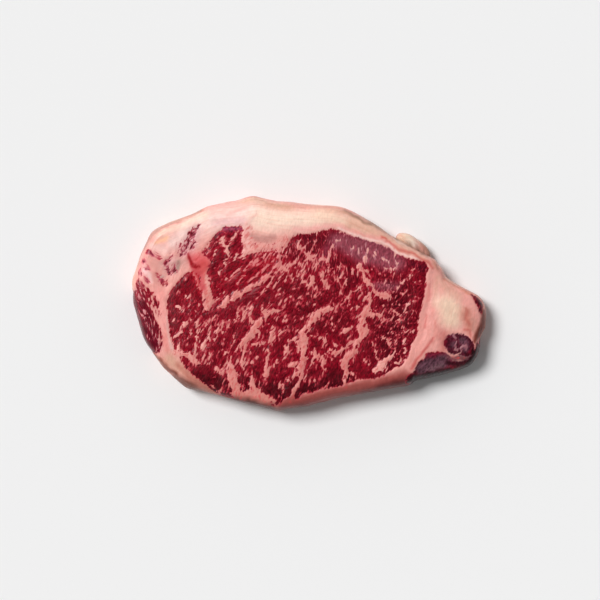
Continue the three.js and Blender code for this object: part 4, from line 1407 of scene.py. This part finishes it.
        # Fat is duller than lean, and both are wetter in places
        share = kit.ramp(look.depth, -0.2, 0.6)
        moist = kit.noise(look.grain, self.moist_size, 2.0).outputs[0]
        duller = self.fat_roughness - self.lean_roughness
        roughness = kit.math(
            "ADD",
            kit.math("MULTIPLY_ADD", share, duller, self.lean_roughness),
            kit.math("MULTIPLY_ADD", moist, 0.2, -0.1),
        )
        relief = kit.math("MULTIPLY", share, self.fat_relief)
        torn = kit.math("MULTIPLY", strands, kit.field("side"))
        for source, height in (
            (look.fibres, self.fibre_relief),
            (layer, self.layer_relief),
            (torn, self.strand_relief),
        ):
            relief = kit.math("MULTIPLY_ADD", source, height, relief)
        bump = add_node(kit.tree, "Bump", {"Height": relief, "Distance": MM, "Strength": 0.6})
        shader = add_node(
            kit.tree, "BsdfPrincipled",
            {
                "Base Color": colour,
                "Roughness": roughness,
                "Normal": bump.outputs[0],
                "IOR": 1.36,
                "Specular IOR Level": 0.35,
                "Subsurface Weight": 0.02,
                "Subsurface Radius": (1.0, 0.35, 0.25),
                "Subsurface Scale": 0.8 * MM,
            },
        )
        add_node(kit.tree, "OutputMaterial", {"Surface": shader.outputs[0]})
        return material


@dataclass(frozen=True)
class Steak:
    """The slice itself: its skin, its low relief and its finish."""

    form: SliceForm = SliceForm()
    tissues: TissueMap = TissueMap()
    finish: CutBeef = CutBeef()
    fat_proud: float = 0.2  # mm that fat stands above lean
    groove_width: float = 0.9  # mm, half width of the groove along a border of fat
    groove_depth: float = 0.18  # mm
    # size, height and seed of the noises that make the skin uneven, in mm
    uneven: tuple[float, float, Seed] = (9.0, 0.25, Seed.UNEVEN)
    pitted: tuple[float, float, Seed] = (3.0, 0.1, Seed.PITTED)
    fold_size: Triple = (18.0, 18.0, 4.0)  # mm, folds of the side
    fold_height: float = 0.3  # mm
    layer_size: Triple = (16.0, 16.0, 1.8)  # mm, layers of thick fat
    layer_height: float = 0.08  # mm

    def relief(self, points: Array, fields: dict[str, Array], upright: Array) -> Array:
        """How far each point of the skin is moved outwards, in mm.

        Fat stands proud of lean, the border between them is a shallow groove, noise in two
        sizes makes it all uneven, the side has folds and thick fat has layers. The
        underside lies flat.

        Args:
            points: rows of x, y, z in millimetres.
            fields: the skin's fields.
            upright: 1 on the cut face, 0 on the side and -1 on the underside.

        Returns:
            One value for each point.
        """
        fat = np.maximum(fields["fat"], fields["vein"])
        proud = self.fat_proud * smoothstep(fat, -0.6, 0.8)
        groove = -self.groove_depth * np.exp(-((fat / self.groove_width) ** 2))
        uneven = sum(
            height * lattice_noise(points, size, seed)
            for size, height, seed in (self.uneven, self.pitted)
        )
        folds = self.fold_height * stretched_noise(points, self.fold_size, Seed.FOLDS)
        layers = stretched_noise(fields["layer"], self.layer_size, Seed.LAYERS)
        thick = self.layer_height * smoothstep(fat, 0.5, 4)
        height = proud + groove + uneven + folds * (upright == 0) + thick * layers
        return height * (upright > -1)

    def build(self) -> bpy.types.Object:
        """Makes the slice's object, with its fields as attributes and its material."""
        points, faces, down, upright = SkinGrid(self.form).build()
        fields = self.tissues.fields(points, down, self.form)
        low, high = points.min(0), points.max(0)
        shift = np.array([*(low + high)[:2] / 2, 0])

        mesh = bpy.data.meshes.new("steak_slice")
        square = faces[:, 2] != faces[:, 3]
        corners = np.concatenate((faces[square].ravel(), faces[~square, :3].ravel()))
        sizes = np.concatenate((np.full(square.sum(), 4), np.full((~square).sum(), 3)))
        starts = np.concatenate(([0], np.cumsum(sizes)[:-1]))
        mesh.vertices.add(len(points))
        mesh.loops.add(len(corners))
        mesh.polygons.add(len(sizes))
        mesh.vertices.foreach_set("co", ((points - shift) * MM).ravel())
        mesh.loops.foreach_set("vertex_index", corners)
        mesh.polygons.foreach_set("loop_start", starts)
        mesh.update(calc_edges=True)

        normals = np.zeros(points.size, np.float32)
        mesh.vertex_normals.foreach_get("vector", normals)
        moved = points + normals.reshape(-1, 3) * self.relief(points, fields, upright)[:, None]
        moved[:, 2] = np.maximum(moved[:, 2], 0)
        mesh.vertices.foreach_set("co", ((moved - shift) * MM).ravel())
        mesh.shade_smooth()
        for name, values in fields.items():
            single = values.ndim == 1
            kind, key = ("FLOAT", "value") if single else ("FLOAT_VECTOR", "vector")
            attribute = mesh.attributes.new(name, kind, "POINT")
            attribute.data.foreach_set(key, values.astype(np.float32).ravel())
        mesh.update()
        mesh.materials.append(self.finish.material())
        piece = bpy.data.objects.new("steak_slice", mesh)
        bpy.context.scene.collection.objects.link(piece)
        LOG.info("steak slice: %d points, %d faces", len(points), len(sizes))
        return piece


@dataclass(frozen=True)
class Studio:
    """A plain pale floor, soft light from the upper left and a camera straight above."""

    floor_size: float = 6.0  # metres
    floor_colour: str = "#F0F0F0"
    horizon: float = 0.80  # the sky's brightness level with the floor
    zenith: float = 0.02  # and straight above
    lopsided: float = 0.45  # how much brighter the sky is on the key's side, dimmer opposite
    key_strength: float = 2.83
    key_from: Triple = (-0.62, 0.42, 1.0)
    key_spread: float = 24.0  # degrees that the softbox takes up
    lens: float = 120.0  # mm
    sensor: float = 36.0  # mm
    frame_width: float = 340.0  # mm of the slice's widest level that the picture takes in
    centre: Pair = (-5.2, 1.8)  # mm, the place under the camera

    def floor(self) -> bpy.types.Object:
        """A matt sheet of pale card under the slice."""
        half = self.floor_size / 2
        mesh = bpy.data.meshes.new("floor")
        corners = [(-half, -half, 0), (half, -half, 0), (half, half, 0), (-half, half, 0)]
        mesh.from_pydata(corners, [], [(0, 1, 2, 3)])
        material = bpy.data.materials.new("matt_pale_card")
        material.use_nodes = True
        shader = material.node_tree.nodes["Principled BSDF"]
        shader.inputs["Base Color"].default_value = linear_rgba(self.floor_colour)
        shader.inputs["Roughness"].default_value = 0.9
        shader.inputs["Specular IOR Level"].default_value = 0.2
        mesh.materials.append(material)
        floor = bpy.data.objects.new("floor", mesh)
        bpy.context.scene.collection.objects.link(floor)
        return floor

    def light(self) -> None:
        """A sky that fades from the horizon to near black above, and one large soft key."""
        world = bpy.data.worlds.new("studio")
        world.use_nodes = True
        tree = world.node_tree
        tree.nodes.clear()
        where = add_node(tree, "TexCoord").outputs["Generated"]
        up = add_node(tree, "SeparateXYZ", {0: where}).outputs["Z"]
        heights = {0: up, 1: 0.0, 2: 1.0, 3: self.horizon, 4: self.zenith}
        fade = add_node(tree, "MapRange", heights)
        level = Vector((*self.key_from[:2], 0)).normalized() * self.lopsided
        side = add_node(tree, "VectorMath", {0: where, 1: level}, operation="DOT_PRODUCT")
        share = add_node(tree, "Math", {0: side.outputs["Value"], 1: 1.0}, operation="ADD")
        bright = add_node(
            tree, "Math", {0: fade.outputs[0], 1: share.outputs[0]}, operation="MULTIPLY"
        )
        sky = add_node(
            tree, "Background", {"Color": (1, 1, 1, 1), "Strength": bright.outputs[0]}
        )
        add_node(tree, "OutputWorld", {"Surface": sky.outputs[0]})
        bpy.context.scene.world = world
        sun = bpy.data.lights.new("softbox", "SUN")
        sun.energy = self.key_strength
        sun.angle = np.radians(self.key_spread)
        lamp = bpy.data.objects.new("softbox", sun)
        lamp.rotation_euler = Vector(self.key_from).to_track_quat("Z", "Y").to_euler()
        bpy.context.scene.collection.objects.link(lamp)

    def camera(self, form: SliceForm) -> bpy.types.Object:
        """The camera above the slice, as far away as the frame's width asks for."""
        camera = bpy.data.cameras.new("overhead")
        camera.lens = self.lens
        camera.sensor_width = self.sensor
        distance = self.frame_width * self.lens / self.sensor
        eye = bpy.data.objects.new("overhead", camera)
        eye.location = Vector((*self.centre, form.widest_height + distance)) * MM
        bpy.context.scene.collection.objects.link(eye)
        bpy.context.scene.camera = eye
        return eye


def main() -> None:
    """Builds the studio and the steak, and ties the steak to the solid that it dresses."""
    logging.basicConfig(level=logging.INFO, format="%(name)s: %(message)s")
    scene = bpy.context.scene
    scene.view_settings.view_transform = "Standard"
    studio = Studio()
    steak = Steak()
    studio.camera(steak.form)
    studio.light()
    studio.floor()
    LOG.info("studio: camera, light and floor")

    piece = steak.build()
    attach(piece, "root")
    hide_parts("steak")


if __name__ == "__main__":
    main()
